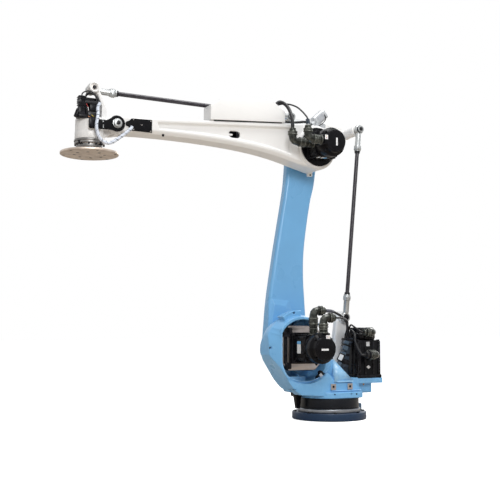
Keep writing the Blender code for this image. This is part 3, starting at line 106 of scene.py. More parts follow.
FLOOR_SEEN = (0.88, 0.88, 0.88, 1.0)
FLOOR_WARM = (0.7, 0.62, 0.53, 1.0)
FLOOR_LIFT = 0.7
bpy.ops.mesh.primitive_plane_add(size=60.0, location=(0.0, 0.0, -0.0005))
floor = bpy.context.object
floor.name = "studio_floor"
floor_paint = bpy.data.materials.new("floor_white")
floor_paint.use_nodes = True
tree = floor_paint.node_tree
floor_skin = tree.nodes["Principled BSDF"].inputs
floor_skin["Roughness"].default_value = 0.95
floor_skin["Specular IOR Level"].default_value = 0.1
floor_skin["Emission Color"].default_value = (1.0, 1.0, 1.0, 1.0)
camera_ray = add_node(tree, "ShaderNodeLightPath").outputs["Is Camera Ray"]
tree.links.new(mixed(tree, camera_ray, FLOOR_WARM, FLOOR_SEEN), floor_skin["Base Color"])
tree.links.new(reckoned(tree, camera_ray, FLOOR_LIFT), floor_skin["Emission Strength"])
floor.data.materials.append(floor_paint)

surround = bpy.data.worlds.new("studio_surround")
bpy.context.scene.world = surround
surround.use_nodes = True
tree = surround.node_tree
tree.nodes.clear()
rays = add_node(tree, "ShaderNodeLightPath").outputs
seen = reckoned(tree, rays["Is Camera Ray"], rays["Is Transmission Ray"], "MAXIMUM")
shown = reckoned(tree, seen, rays["Is Glossy Ray"], "MAXIMUM")
glow, white = (add_node(tree, "ShaderNodeBackground", (("Color", tint), ("Strength", strength)))
               for tint, strength in (((0.93, 0.96, 1.0, 1.0), 0.42), ((1.0, 1.0, 1.0, 1.0), 1.0)))
chosen = add_node(tree, "ShaderNodeMixShader",
                  ((0, shown), (1, glow.outputs[0]), (2, white.outputs[0])))
add_node(tree, "ShaderNodeOutputWorld", (("Surface", chosen.outputs[0]),))

for name, place, aim, size, power in (
        ("near_lamp", (2.2, 5.2, 3.6), (0.5, 0.0, 1.0), 2.0, 168.0),
        ("top_lamp", (-0.2, 1.0, 5.2), (0.4, 0.0, 1.2), 2.2, 128.0),
        ("far_lamp", (-3.2, -3.0, 2.6), (0.4, 0.0, 1.0), 2.0, 50.0)):
    lamp_data = bpy.data.lights.new(name, "AREA")
    lamp_data.shape = "DISK"
    lamp_data.size = size
    lamp_data.energy = power
    lamp = added(name, lamp_data)
    lamp.location = place
    lamp.rotation_euler = aimed(Vector(aim) - Vector(place), "-Z")


# Paint on metal: an even sprayed coat with a faint orange peel, lighter in chipped patches on
# its sharp edges, partly wear and partly a painted highlight, with dust settled on what faces up.
def new_group(name, inputs):
    """An empty shader group, the values it is given and the results it makes."""
    group = bpy.data.node_groups.new(name, "ShaderNodeTree")
    for label, kind, value in inputs:
        socket = group.interface.new_socket(label, in_out="INPUT", socket_type=kind)
        socket.default_value = value
    for label, kind in (("Color", COLOUR), ("Roughness", NUMBER), ("Normal", VECTOR)):
        group.interface.new_socket(label, in_out="OUTPUT", socket_type=kind)
    return (group, group.nodes.new("NodeGroupInput").outputs,
            group.nodes.new("NodeGroupOutput").inputs)


def noise(tree, spot, scale, detail):
    """A cloudy value over a piece."""
    return add_node(tree, "ShaderNodeTexNoise",
                    (("Vector", spot), ("Scale", scale), ("Detail", detail))).outputs["Fac"]


def spread(tree, value, low, high, *ends):
    """A value's range stretched to run from 0 to 1, or between other ends."""
    return add_node(tree, "ShaderNodeMapRange",
                    (("Value", value), ("From Min", low), ("From Max", high), *ends)).outputs[0]


def bumped(tree, strength, distance, height):
    """A normal that follows a height."""
    return add_node(tree, "ShaderNodeBump", (
        ("Strength", strength), ("Distance", distance), ("Height", height))).outputs[0]


COLOUR, NUMBER, VECTOR = "NodeSocketColor", "NodeSocketFloat", "NodeSocketVector"
DUST_TONE = (0.62, 0.58, 0.52, 1.0)
coat, given, made = new_group("paint_coat", (
    ("Paint", COLOUR, (0.5, 0.5, 0.5, 1.0)), ("Worn and Highlit", COLOUR, (0.8, 0.8, 0.8, 1.0)),
    ("Roughness", NUMBER, 0.4), ("Wear and Highlight", NUMBER, 0.3), ("Mottle", NUMBER, 0.06),
    ("Peel", NUMBER, 0.15), ("Dust", NUMBER, 0.05)))
spot = add_node(coat, "ShaderNodeTexCoord").outputs["Object"]
shape = add_node(coat, "ShaderNodeNewGeometry").outputs
shift = spread(coat, noise(coat, spot, 5.0, 4.0), 0.3, 0.7, ("To Min", -1.0), ("To Max", 1.0))
level = reckoned(coat, reckoned(coat, shift, given["Mottle"]), 1.0, "ADD")
tinted = add_node(coat, "ShaderNodeVectorMath", ((0, given["Paint"]), ("Scale", level)),
                  operation="SCALE").outputs[0]
# Sharp edges, found by pointiness, take the lighter colour: wear and a painted highlight.
edges = spread(coat, shape["Pointiness"], 0.515, 0.6)
chips = spread(coat, noise(coat, spot, 60.0, 3.0), 0.35, 0.65)
wear_and_highlight = reckoned(coat, reckoned(coat, edges, chips), given["Wear and Highlight"])
worn_and_highlit = mixed(coat, wear_and_highlight, tinted, given["Worn and Highlit"])
upward = add_node(coat, "ShaderNodeSeparateXYZ", ((0, shape["Normal"]),)).outputs["Z"]
specks = reckoned(coat, spread(coat, upward, 0.5, 1.0), noise(coat, spot, 180.0, 2.0))
dusted = mixed(coat, reckoned(coat, specks, given["Dust"]), worn_and_highlit, DUST_TONE)
coat.links.new(dusted, made["Color"])
rough = reckoned(coat, reckoned(coat, shift, 0.05), given["Roughness"], "ADD")
coat.links.new(rough, made["Roughness"])
coat.links.new(bumped(coat, given["Peel"], 0.0006, noise(coat, spot, 420.0, 2.0)), made["Normal"])


def lay_on(name, group, values, metallic, gloss=0.5):
    """A material whose colour, roughness and normal come from a group."""
    finish = bpy.data.materials.new(name)
    finish.use_nodes = True
    tree = finish.node_tree
    skin = tree.nodes["Principled BSDF"].inputs
    skin["Metallic"].default_value = metallic
    skin["Specular IOR Level"].default_value = gloss
    source = tree.nodes.new("ShaderNodeGroup")
    source.node_tree = group
    for label, value in values.items():
        source.inputs[label].default_value = value
    for label, socket in (("Color", "Base Color"), ("Roughness", "Roughness"),
                          ("Normal", "Normal")):
        tree.links.new(source.outputs[label], skin[socket])
    return finish


def paint(name, colour, worn_and_highlit, roughness, wear_and_highlight=0.3, mottle=0.05, peel=0.15, dust=0.05, metallic=0.0,
          gloss=0.5):
    """A paint from the shared coat, in linear colours."""
    return lay_on(name, coat,
                  {"Paint": (*colour, 1.0), "Worn and Highlit": (*worn_and_highlit, 1.0), "Roughness": roughness,
                   "Wear and Highlight": wear_and_highlight, "Mottle": mottle, "Peel": peel, "Dust": dust}, metallic, gloss)


SKY_BLUE = paint("sky_blue_enamel", (0.175, 0.44, 0.755), (0.45, 0.7, 0.9), 0.3, mottle=0.03,
                 gloss=0.4)
WHITE = paint("white_enamel", (0.8, 0.795, 0.785), (0.92, 0.92, 0.91), 0.34, mottle=0.015,
              gloss=0.35)
NAVY = paint("navy_enamel", (0.012, 0.032, 0.075), (0.06, 0.1, 0.17), 0.4, dust=0.06, gloss=0.25)
DRUM_BLACK = paint("blue_black_enamel", (0.003, 0.0045, 0.008), (0.03, 0.04, 0.06), 0.34,
                   gloss=0.2)
BLUE_GREY = paint("slate_moulding", (0.016, 0.026, 0.042), (0.09, 0.13, 0.18), 0.4, gloss=0.3)
STOP_BLUE = paint("blue_grey_enamel", (0.085, 0.15, 0.235), (0.2, 0.28, 0.36), 0.48)
BLACK = paint("satin_black", (0.0022, 0.0022, 0.0032), (0.045, 0.045, 0.055), 0.27, wear_and_highlight=0.6,
              peel=0.06, dust=0.02, gloss=0.11)
# A lighter copy of the sky blue: a painted highlight on the buttress, its ledges and the bowl's
# rim.
SKY_HIGHLIGHT = paint("sky_blue_painted_highlight", (0.265, 0.545, 0.85), (0.45, 0.7, 0.9), 0.28, mottle=0.02)
# A lighter copy of the olive: a painted highlight on alternate knurl rings of the plugs.
OLIVE_HIGHLIGHT = paint("olive_painted_highlight", (0.092, 0.096, 0.086), (0.3, 0.31, 0.28), 0.24, wear_and_highlight=0.6,
                    peel=0.03, metallic=0.6, gloss=0.4)
LIGHT_SLATE = paint("light_slate_moulding", (0.05, 0.085, 0.13), (0.16, 0.22, 0.28), 0.34,
                    gloss=0.4)
OLIVE = paint("olive_connector", (0.019, 0.021, 0.018), (0.22, 0.23, 0.21), 0.28, wear_and_highlight=0.6,
              peel=0.05, metallic=0.55, gloss=0.3)
CHARCOAL = paint("charcoal_tube", (0.018, 0.014, 0.02), (0.1, 0.1, 0.11), 0.3, peel=0.03, dust=0.0,
                 gloss=0.35)
PALE_GREY = paint("die_cast_grey", (0.46, 0.48, 0.5), (0.8, 0.81, 0.82), 0.38, metallic=0.3)
CABLE = paint("cable_jacket", (0.006, 0.006, 0.008), (0.04, 0.04, 0.045), 0.4, peel=0.05,
              gloss=0.3)
SLEEVE = paint("pale_sleeve", (0.62, 0.67, 0.76), (0.78, 0.8, 0.84), 0.55)

# Bare metal: turned, milled or plated, with fine tool marks and slight staining.
bare, given, made = new_group("bare_metal", (
    ("Metal", COLOUR, (0.6, 0.6, 0.6, 1.0)), ("Stain", COLOUR, (0.3, 0.3, 0.3, 1.0)),
    ("Roughness", NUMBER, 0.3), ("Marks", NUMBER, 0.2), ("Mark Scale", VECTOR, (40, 40, 900)),
    ("Staining", NUMBER, 0.3)))
spot = add_node(bare, "ShaderNodeTexCoord").outputs["Object"]
stretched = add_node(bare, "ShaderNodeVectorMath", ((0, spot), (1, given["Mark Scale"])),
                     operation="MULTIPLY").outputs[0]
marks = noise(bare, stretched, 1.0, 2.0)
stain = reckoned(bare, spread(bare, noise(bare, spot, 22.0, 4.0), 0.42, 0.68), given["Staining"])
bare.links.new(mixed(bare, stain, given["Metal"], given["Stain"]), made["Color"])
rough = reckoned(bare, reckoned(bare, marks, 0.16), given["Roughness"], "ADD")
bare.links.new(rough, made["Roughness"])
bare.links.new(bumped(bare, given["Marks"], 0.0003, marks), made["Normal"])


def metal(name, colour, stain, roughness, scale=(40.0, 40.0, 900.0), staining=0.3):
    """A bare metal from the shared group."""
    return lay_on(name, bare,
                  {"Metal": (*colour, 1.0), "Stain": (*stain, 1.0), "Roughness": roughness,
                   "Marks": 0.2, "Mark Scale": scale, "Staining": staining}, 1.0)


ZINC = metal("zinc_plate", (0.44, 0.455, 0.46), (0.3, 0.31, 0.3), 0.28,
             scale=(300.0, 300.0, 300.0))
STEEL = metal("machined_steel", (0.38, 0.36, 0.34), (0.22, 0.19, 0.16), 0.3)
RING_STEEL = metal("ring_steel", (0.25, 0.265, 0.29), (0.1, 0.1, 0.11), 0.28)
TOOL_STEEL = metal("tool_disc_steel", (0.64, 0.56, 0.49), (0.36, 0.29, 0.24), 0.4, staining=0.5,
                   scale=(60.0, 60.0, 500.0))
ALUMINIUM = metal("machined_aluminium", (0.4, 0.365, 0.355), (0.26, 0.24, 0.23), 0.3,
                  scale=(500.0, 500.0, 30.0))

# Every solid is dressed as a copy of itself: its facets joined, its edges broken as on a
# machined part, or its whole skin rounded as a sand casting's.
carrier = {node: body for body, members in frame["record"]["behaviour"]["bodies"].items()
           for node in members}


def only(piece):
    """Select one piece alone."""
    bpy.ops.object.select_all(action="DESELECT")
    piece.select_set(True)
    bpy.context.view_layer.objects.active = piece


def joined(parts):
    """Several pieces made one."""
    only(parts[0])
    for part in parts[1:]:
        part.select_set(True)
    if len(parts) > 1:
        bpy.ops.object.join()
    return parts[0]


def apply_all(piece):
    """Apply a piece's modifiers in order."""
    only(piece)
    for modifier in list(piece.modifiers):
        bpy.ops.object.modifier_apply(modifier=modifier.name)


def shaded(angle):
    """Shade the active piece smooth, but for edges sharper than an angle."""
    bpy.ops.object.shade_smooth_by_angle(angle=math.radians(angle))


def edged(piece, width, sharp=36.0, clamp=True):
    """Bevel a piece's edges that are sharper than an angle."""
    bevel = piece.modifiers.new("broken_edges", "BEVEL")
    bevel.width = width
    bevel.segments = 2
    bevel.limit_method = "ANGLE"
    bevel.angle_limit = math.radians(sharp)
    bevel.use_clamp_overlap = clamp
    apply_all(piece)


def joined_copy(node, finish):
    """A copy of a CAD node with its facets joined into whole faces."""
    piece = added(f"{node}_dressed", frame["nodes"][node].data.copy())
    piece.data.materials.clear()
    piece.data.materials.append(finish)
    only(piece)
    bpy.ops.mesh.customdata_custom_splitnormals_clear()
    bpy.ops.object.mode_set(mode="EDIT")
    bpy.ops.mesh.select_all(action="SELECT")
    bpy.ops.mesh.remove_doubles(threshold=0.00002)
    bpy.ops.mesh.dissolve_limited(angle_limit=math.radians(0.5))
    bpy.ops.object.mode_set(mode="OBJECT")
    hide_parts(node)
    return piece


def machined(node, finish, edge=0.001, smooth=34.0):
    """A dressed copy with narrow bevels on its sharp edges."""
    piece = joined_copy(node, finish)
    if edge:
        edged(piece, edge)
    only(piece)
    shaded(smooth)
    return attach(piece, carrier[node])


def trimmed(piece, flats):
    """Cut flats on a piece: each has a point on it and its outward direction."""
    for point, outward in flats:
        only(piece)
        bpy.ops.object.mode_set(mode="EDIT")
        bpy.ops.mesh.select_all(action="SELECT")
        bpy.ops.mesh.bisect(plane_co=point, plane_no=outward, use_fill=True, clear_outer=True)
        bpy.ops.object.mode_set(mode="OBJECT")
    return piece


def bored(piece, holes, sides=24):
    """Drill a finished piece: each hole has a mouth, a way in, a radius and a depth."""
    cutters = []
    for mouth, inward, radius, depth in holes:
        inward = Vector(inward).normalized()
        bpy.ops.mesh.primitive_cylinder_add(
            vertices=sides, radius=radius, depth=depth + 2 * OVERRUN,
            location=Vector(mouth) + inward * (depth / 2 - OVERRUN), rotation=aimed(inward))
        bpy.ops.object.transform_apply(location=True, rotation=True, scale=True)
        cutters.append(bpy.context.object)
    drill = piece.modifiers.new("holes", "BOOLEAN")
    drill.operation = "DIFFERENCE"
    drill.solver = "EXACT"
    drill.object = joined(cutters)
    apply_all(piece)
    bpy.data.objects.remove(cutters[0])
    return piece


def cast(node, finish, flats=()):
    """A dressed copy with flats cut, whose edges and inner corners are rounded all over."""
    piece = trimmed(joined_copy(node, finish), flats)
    skin = piece.modifiers.new("skin", "REMESH")
    skin.mode = "VOXEL"
    skin.voxel_size = SKIN_VOXEL
    ease = piece.modifiers.new("fillets", "SMOOTH")
    ease.factor = 0.5
    ease.iterations = SKIN_ROUNDS
    thin = piece.modifiers.new("thinned", "DECIMATE")
    thin.ratio = SKIN_KEPT
    apply_all(piece)
    bpy.ops.object.shade_smooth()
    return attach(piece, carrier[node])


def crisp_cast(node, finish, edge, holes, flats, notches):
    """A dressed copy with flats, notches and holes cut, rounded edges and even faces."""
    piece = bored(bored(trimmed(joined_copy(node, finish), flats), notches, sides=4), holes)
    edged(piece, edge, 32.0, clamp=False)
    shaded(50.0)
    even = piece.modifiers.new("even_faces", "WEIGHTED_NORMAL")
    even.keep_sharp = True
    even.weight = 60
    apply_all(piece)
    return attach(piece, carrier[node])


def skin_point(node, start, way):
    """Where a ray from a point first meets a CAD node."""
    mesh = frame["nodes"][node].data
    solid = BVHTree.FromPolygons([v.co for v in mesh.vertices],
                                 [tuple(p.vertices) for p in mesh.polygons])
    return solid.ray_cast(Vector(start), Vector(way))[0]


def settled(finish, edge=0.0, smooth=34.0, place=None):
    """The active new primitive, edged and moved into its own mesh."""
    piece = bpy.context.object
    bpy.ops.object.transform_apply(location=True, rotation=True, scale=True)
    piece.data.materials.append(finish)
    if edge:
        edged(piece, edge)
    if place is not None:
        piece.data.transform(place)
    shaded(smooth)
    return piece


def slab(finish, centre, size, edge=0.001, turn=(0, 0, 0), place=None):
    """A rectangular piece with broken edges, turned by degrees round X, Y and Z."""
    bpy.ops.mesh.primitive_cube_add(
        size=1.0, location=centre, rotation=[math.radians(angle) for angle in turn])
    bpy.context.object.scale = size
    return settled(finish, edge, place=place)


def bar(finish, centre, axis, radius, length, edge=0.0, sides=32, place=None):
    """A round piece of a given length along an axis."""
    bpy.ops.mesh.primitive_cylinder_add(
        vertices=sides, radius=radius, depth=length, location=centre, rotation=aimed(axis))
    return settled(finish, edge, place=place)


def rib(finish, centre, axis, radius, thickness, place=None):
    """A rolled ring round an axis."""
    bpy.ops.mesh.primitive_torus_add(major_segments=32, minor_segments=8, major_radius=radius,
                                     minor_radius=thickness, location=centre, rotation=aimed(axis))
    return settled(finish, smooth=60.0, place=place)


def gathered(name, parts, body):
    """Like parts made one object, on its body."""
    piece = joined(parts)
    piece.name = name
    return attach(piece, body)


OVERRUN = 0.004
SKIN_VOXEL = 0.0028
SKIN_ROUNDS = 4
SKIN_KEPT = 0.5
UP, NEAR, AWAY = (0, 0, 1), (0, 1, 0), (0, -1, 0)

# Socket screws: one head, turned with a hollow in its end, copied to every place that
# has one.
bpy.ops.mesh.primitive_cylinder_add(vertices=20, radius=1.0, depth=1.0, location=(0, 0, 0.5))
screw_head = bpy.context.object
screw_head.name = "screw_pattern"
only(screw_head)
bpy.ops.object.mode_set(mode="EDIT")
bpy.ops.mesh.select_all(action="DESELECT")
bpy.ops.object.mode_set(mode="OBJECT")
for face in screw_head.data.polygons:
    face.select = face.normal.z > 0.9
bpy.ops.object.mode_set(mode="EDIT")
bpy.ops.mesh.inset(thickness=0.12, depth=0.0)
bpy.ops.transform.translate(value=(0, 0, 0.06))
bpy.ops.mesh.inset(thickness=0.34, depth=0.0)
bpy.ops.mesh.extrude_region_move(TRANSFORM_OT_translate={"value": (0, 0, -0.6)})
bpy.ops.object.mode_set(mode="OBJECT")
bpy.ops.object.transform_apply(location=True, rotation=True, scale=True)
screw_pattern = screw_head.data.copy()
bpy.data.objects.remove(screw_head)


def screws(name, finish, spots, out, radius, height, body, place=None):
    """Socket heads at several spots, all facing one way."""
    turn = Vector(out).to_track_quat("Z", "Y").to_matrix().to_4x4()
    heads = []
    for spot in spots:
        head = added(name, screw_pattern.copy())
        head.data.transform(
            Matrix.Translation(spot) @ turn @ Matrix.Diagonal((radius, radius, height, 1.0)))
        if place is not None:
            head.data.transform(place)
        head.data.materials.append(finish)
        heads.append(head)
        only(head)
        shaded(34.0)
    return gathered(name, heads, body)


def ring_spots(centre, radius, count, first=0.0, plane="XY"):
    """Points on a circle."""
    spots = []
    for i in range(count):
        a = math.tau * i / count + first
        u, v = radius * math.cos(a), radius * math.sin(a)
        step = {"XY": (u, v, 0.0), "XZ": (u, 0.0, v)}[plane]
        spots.append(Vector(centre) + Vector(step))
    return spots


# The fixed base: a navy foot with its anchor screws, the bare steel race of the swivel
# bearing, and the near-black drum with its stop block.
FOOT_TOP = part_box("base_flange")[1].z
DRUM_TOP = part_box("base_drum")[1].z
machined("base_flange", NAVY, 0.002)
machined("j1_bearing_ring", RING_STEEL, 0.0015)
machined("base_drum", DRUM_BLACK)
machined("base_stop_block", STOP_BLUE, 0.002)
machined("j1_output_hub", STEEL)
machined("j1_stop_pin", BLACK, 0.002)
screws("anchor_screws", BLACK, ring_spots((0, 0, FOOT_TOP), 0.205, 8, math.tau / 16 + 0.02), UP,
       0.0095, 0.006, "base")
gathered("drum_bands", [rib(BLACK, (0, 0, z), UP, 0.1782, 0.0012)
                        for z in (DRUM_TOP - 0.006, DRUM_TOP - 0.052)], "base")


# The waist: one blue iron casting with a bowl for the gearbox. Only its side bosses, the
# holes and the seats of the motors are machined bare.
def smooth_run(points, steps=6):
    """A Catmull-Rom curve through a route's points."""
    ends = [points[0], *points, points[-1]]
    run = []
    for p0, p1, p2, p3 in zip(ends, ends[1:], ends[2:], ends[3:]):
        for i in range(steps):
            t = i / steps
            run.append(tuple(
                0.5 * (2 * b + (c - a) * t + (2 * a - 5 * b + 4 * c - d) * t * t
                       + (3 * b - a - 3 * c + d) * t ** 3)
                for a, b, c, d in zip(p0, p1, p2, p3)))
    run.append(tuple(points[-1]))
    return run


def line(name, finish, runs, radius, body):
    """One curve object with a round section along each run of points."""
    curve = bpy.data.curves.new(name, "CURVE")
    curve.dimensions = "3D"
    curve.bevel_depth = radius
    curve.bevel_resolution = 4
    curve.use_fill_caps = True
    for run in runs:
        spline = curve.splines.new("POLY")
        spline.points.add(len(run) - 1)
        for point, spot in zip(spline.points, run):
            point.co = (*spot, 1.0)
    piece = added(name, curve)
    piece.data.materials.append(finish)
    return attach(piece, body)


SIDE_FACE_Y = 0.154
SIDE_HOLES = ((0.064, 0.196), (-0.051, 0.196))
SMALL_HOLES = ((0.0607, 0.1525), (-0.0846, 0.151))
BOWL_FLATS = (((0.43, 0.0, 0.0), (1.0, 0.0, 0.0)),
              ((0.4344, 0.0, 0.3894), (0.8448, 0.0, -0.5352)))
crisp_cast("waist_frame", SKY_BLUE, 0.0028,
           [((x, SIDE_FACE_Y, z), AWAY, 0.0085, 0.03) for x, z in SIDE_HOLES]
           + [((x, 0.16, z), AWAY, 0.005, 0.03) for x, z in SMALL_HOLES]
           + [((0.445, 0.052, 0.4244), (-1, 0, 0), 0.0065, 0.03),
              ((-0.2109, 0.1, 0.1981), AWAY, 0.006, 0.04)],
           BOWL_FLATS, [((-0.15, 0.16, 0.255), AWAY, 0.1, 0.058)])
# The buttress and its ledges are painted in the lighter blue, a painted highlight on their faces.
BUTTRESS_TOP = (0.03, 0.112, 0.348)
buttress = trimmed(slab(SKY_HIGHLIGHT, (-0.02, 0.11, 0.27), (0.2, 0.11, 0.2), 0.0),
                   [(BUTTRESS_TOP, Vector((-0.127, 0.94, 0.314)).normalized()),
                    (BUTTRESS_TOP, (-0.72, 0.0, 0.694)),
                    ((0.034, 0.112, 0.348), (0.988, 0.0, 0.153)),
                    ((0.0, 0.0, 0.223), (0, 0, -1)), ((0.0, 0.085, 0.0), AWAY)])
ledges = [slab(SKY_HIGHLIGHT, (-0.018, 0.146, 0.225), (0.112, 0.02, 0.0085), 0.0026),
          slab(SKY_HIGHLIGHT, (-0.028, 0.146, 0.1725), (0.205, 0.014, 0.007), 0.0024)]
gathered("waist_buttress", [buttress, *ledges], "waist")
corner = slab(SKY_BLUE, (0.2446, 0.01, 0.2101), (0.11, 0.07, 0.09), 0.0)
gathered("bowl_foot_corner", [trimmed(corner, BOWL_FLATS[1:])], "waist")
seats = []
for x, z in SIDE_HOLES:
    seat = slab(ALUMINIUM, (x, SIDE_FACE_Y + 0.0004, z), (0.0345, 0.0016, 0.0345), 0.0)
    seats.append(bored(seat, [((x, SIDE_FACE_Y + 0.001, z), AWAY, 0.0078, 0.01)]))
gathered("side_boss_seats", seats, "waist")
# Black discs sunk in the bored holes: painted shade that darkens them.
gathered("side_boss_hole_shade",
         [bar(BLACK, (x, SIDE_FACE_Y - 0.0045, z), NEAR, 0.0077, 0.005) for x, z in SIDE_HOLES]
         + [bar(BLACK, skin_point("waist_frame", (x + 0.009, 0.4, z), AWAY)
                - Vector((0.009, 0.0012, 0)), NEAR, 0.0052, 0.003) for x, z in SMALL_HOLES]
         + [bar(BLACK, (BOWL_FLATS[0][0][0] - 0.001, 0.052, 0.4244), (1, 0, 0), 0.0056, 0.0028)],
         "waist")
gathered("crown_lugs",
         [slab(SKY_BLUE, (0.303, 0.048, 0.622), (0.024, 0.04, 0.022), 0.004, (0, 24, 0)),
          slab(SKY_BLUE, (0.256, 0.048, 0.628), (0.03, 0.05, 0.018), 0.004, (0, 6, 0))], "waist")
sensor = [slab(BLACK, (0.112, 0.098, 0.272), (0.04, 0.026, 0.02), 0.003, (0, -38, 0)),
          bar(BLACK, (0.128, 0.096, 0.262), (1, 0, -0.8), 0.009, 0.05, 0.002)]
gathered("bowl_sensor", sensor, "waist")
SENSOR_TAG = paint("sensor_tag", (0.75, 0.77, 0.8), (0.8, 0.8, 0.8), 0.45, peel=0.0)
gathered("bowl_sensor_tag", [
    slab(SENSOR_TAG, (0.123, 0.113, 0.261), (0.024, 0.006, 0.018), 0.001, (0, -50, 0))], "waist")
HOLE_PLUG = paint("orange_plug", (0.55, 0.28, 0.1), (0.6, 0.4, 0.2), 0.5, peel=0.0)
plug_place = skin_point("waist_frame", (-0.2, 0.4, 0.1975), AWAY) - Vector((0.011, 0.001, 0))
gathered("block_hole_plug", [bar(HOLE_PLUG, plug_place, NEAR, 0.0058, 0.004)], "waist")
# A thin light-blue line along the edge of the bowl's opening: a painted highlight, not a bead on
# the casting.
RIM_Y = 0.1062
RIM_HIGHLIGHT_PATH = ((0.3785, 0.5022), (0.3795, 0.4635), (0.3797, 0.4172), (0.379, 0.371), (0.3765, 0.3325),
            (0.3686, 0.3015), (0.3484, 0.2703), (0.3218, 0.2496), (0.2905, 0.238),
            (0.2455, 0.2298), (0.2002, 0.2293), (0.1543, 0.2382), (0.1173, 0.2544),
            (0.0893, 0.2758), (0.0742, 0.2935))
line("bowl_rim_highlight_line", SKY_HIGHLIGHT, [smooth_run([(x, RIM_Y, z) for x, z in RIM_HIGHLIGHT_PATH])], 0.0026,
     "waist")

# The three axis motors are alike: a square flange on four screws, a ribbed body, a round
# encoder cap and two angled round connectors with knurled nuts. Each is built in its own
# frame, shaft along Z, and set in place.
PRINT = bpy.data.materials.new("plate_print")
PRINT.use_nodes = True
tree = PRINT.node_tree
printed_skin = tree.nodes["Principled BSDF"].inputs
printed_skin["Roughness"].default_value = 0.45
spot = add_node(tree, "ShaderNodeTexCoord").outputs["Object"]
lines = add_node(tree, "ShaderNodeTexWave",
                 (("Vector", spot), ("Scale", 110.0), ("Distortion", 1.5)), bands_direction="Z")
ink = spread(tree, lines.outputs["Fac"], 0.72, 0.8, ("To Max", 0.45))
tree.links.new(mixed(tree, ink, (0.8, 0.82, 0.84, 1.0), (0.3, 0.33, 0.38, 1.0)),
               printed_skin["Base Color"])
PLATE_WHITE = paint("plate_white", (0.78, 0.79, 0.8), (0.85, 0.85, 0.86), 0.42, peel=0.03)
PLATE_BLUE = paint("plate_blue", (0.14, 0.42, 0.74), (0.3, 0.5, 0.8), 0.42, peel=0.03)


def motor_frame(origin, shaft, plug_side):
    """The place of a motor whose shaft and plugs point these ways."""
    out, side = Vector(shaft), Vector(plug_side)
    turn = Matrix((side, out.cross(side), out)).transposed().to_4x4()
    return Matrix.Translation(origin) @ turn


def motor(joint, place, length, body_side, flange, cap_length, plugs, body):
    """Dress one motor: its solids, ribs, screws, plates and connectors."""
    machined(f"{joint}_motor", BLACK, 0.0022, smooth=28.0)
    machined(f"{joint}_motor_cap", BLACK, 0.0016, smooth=28.0)
    flange_side, flange_t = flange
    body_end = length - cap_length
    half = body_side / 2
    low, high = flange_t + 0.004, body_end - 0.006
    strips = []
    for turn in range(4):
        spun = place @ Matrix.Rotation(math.radians(90 * turn), 4, "Z")
        for across in (-0.4, -0.17, 0.17, 0.4):
            if turn == 0 and abs(across) < 0.2 and length < 0.3:
                continue
            strips.append(slab(BLACK, (half + 0.0008, across * body_side, (low + high) / 2),
                               (0.0075, 0.014, high - low), 0.002, place=spun))
    gathered(f"{joint}_motor_ribs", strips, body)
    reach = flange_side / 2 - 0.014
    corners = [(x, y, flange_t) for x in (-reach, reach) for y in (-reach, reach)]
    screws(f"{joint}_flange_screws", BLACK, corners, UP, 0.0085, 0.01, body, place)
    post = half - 0.012
    gathered(f"{joint}_body_collars",
             [bar(BLACK, (x, y, body_end - 0.004), UP, 0.0105, 0.014, 0.0015, place=place)
              for x in (post, -post) for y in (post, -post)], body)
    screws(f"{joint}_cap_screws", BLACK,
           ring_spots((0, 0, length - 0.029), 0.0755, 4, math.radians(45)), UP, 0.0052, 0.006,
           body, place)
    gathered(f"{joint}_cap_rims",
             [rib(BLACK, (0, 0, length - 0.0012), UP, 0.0585, 0.0016, place),
              rib(BLACK, (0, 0, body_end + 0.018), UP, 0.0853, 0.0018, place)], body)
    for part, centre, size in (
            ("bar", (-0.004, 0.006, length + 0.0003), (0.0105, 0.046, 0.0006)),
            ("label", (0.066, -0.014, length - 0.0003), (0.02, 0.026, 0.0012))):
        gathered(f"{joint}_cap_{part}", [slab(PLATE_WHITE, centre, size, 0.0, place=place)], body)
    for mark, tint, y in (("amber", (0.55, 0.36, 0.08), -0.019),
                          ("plum", (0.3, 0.06, 0.16), -0.009)):
        ink = paint(f"{joint}_{mark}_ink", tint, tint, 0.5, peel=0.0)
        dot = bar(ink, (0.066, y, length + 0.0004), UP, 0.0028, 0.0004, sides=16, place=place)
        gathered(f"{joint}_cap_{mark}_dot", [dot], body)
    for part, (start, reach, along) in plugs.items():
        machined(f"{joint}_{part}_plug", OLIVE, 0.0, smooth=24.0)
        straight = reach - start - PLUG_BEND
        ridges = [rib(finish, (start + straight * share, 0, along), (1, 0, 0), radius, thick,
                      place)
                  for share, radius, thick, finish in STRAIGHT_RIDGES]
        ridges += [rib(finish, (reach, -PLUG_BEND - 0.05 * share, along), NEAR, radius, thick,
                       place)
                   for share, radius, thick, finish in DOWN_RIDGES]
        ridges.append(slab(BLACK, (start - 0.006, 0, along), (0.012, 0.052, 0.052), 0.002,
                           place=place))
        gathered(f"{joint}_{part}_knurls", ridges, body)


PLUG_BEND = 0.026
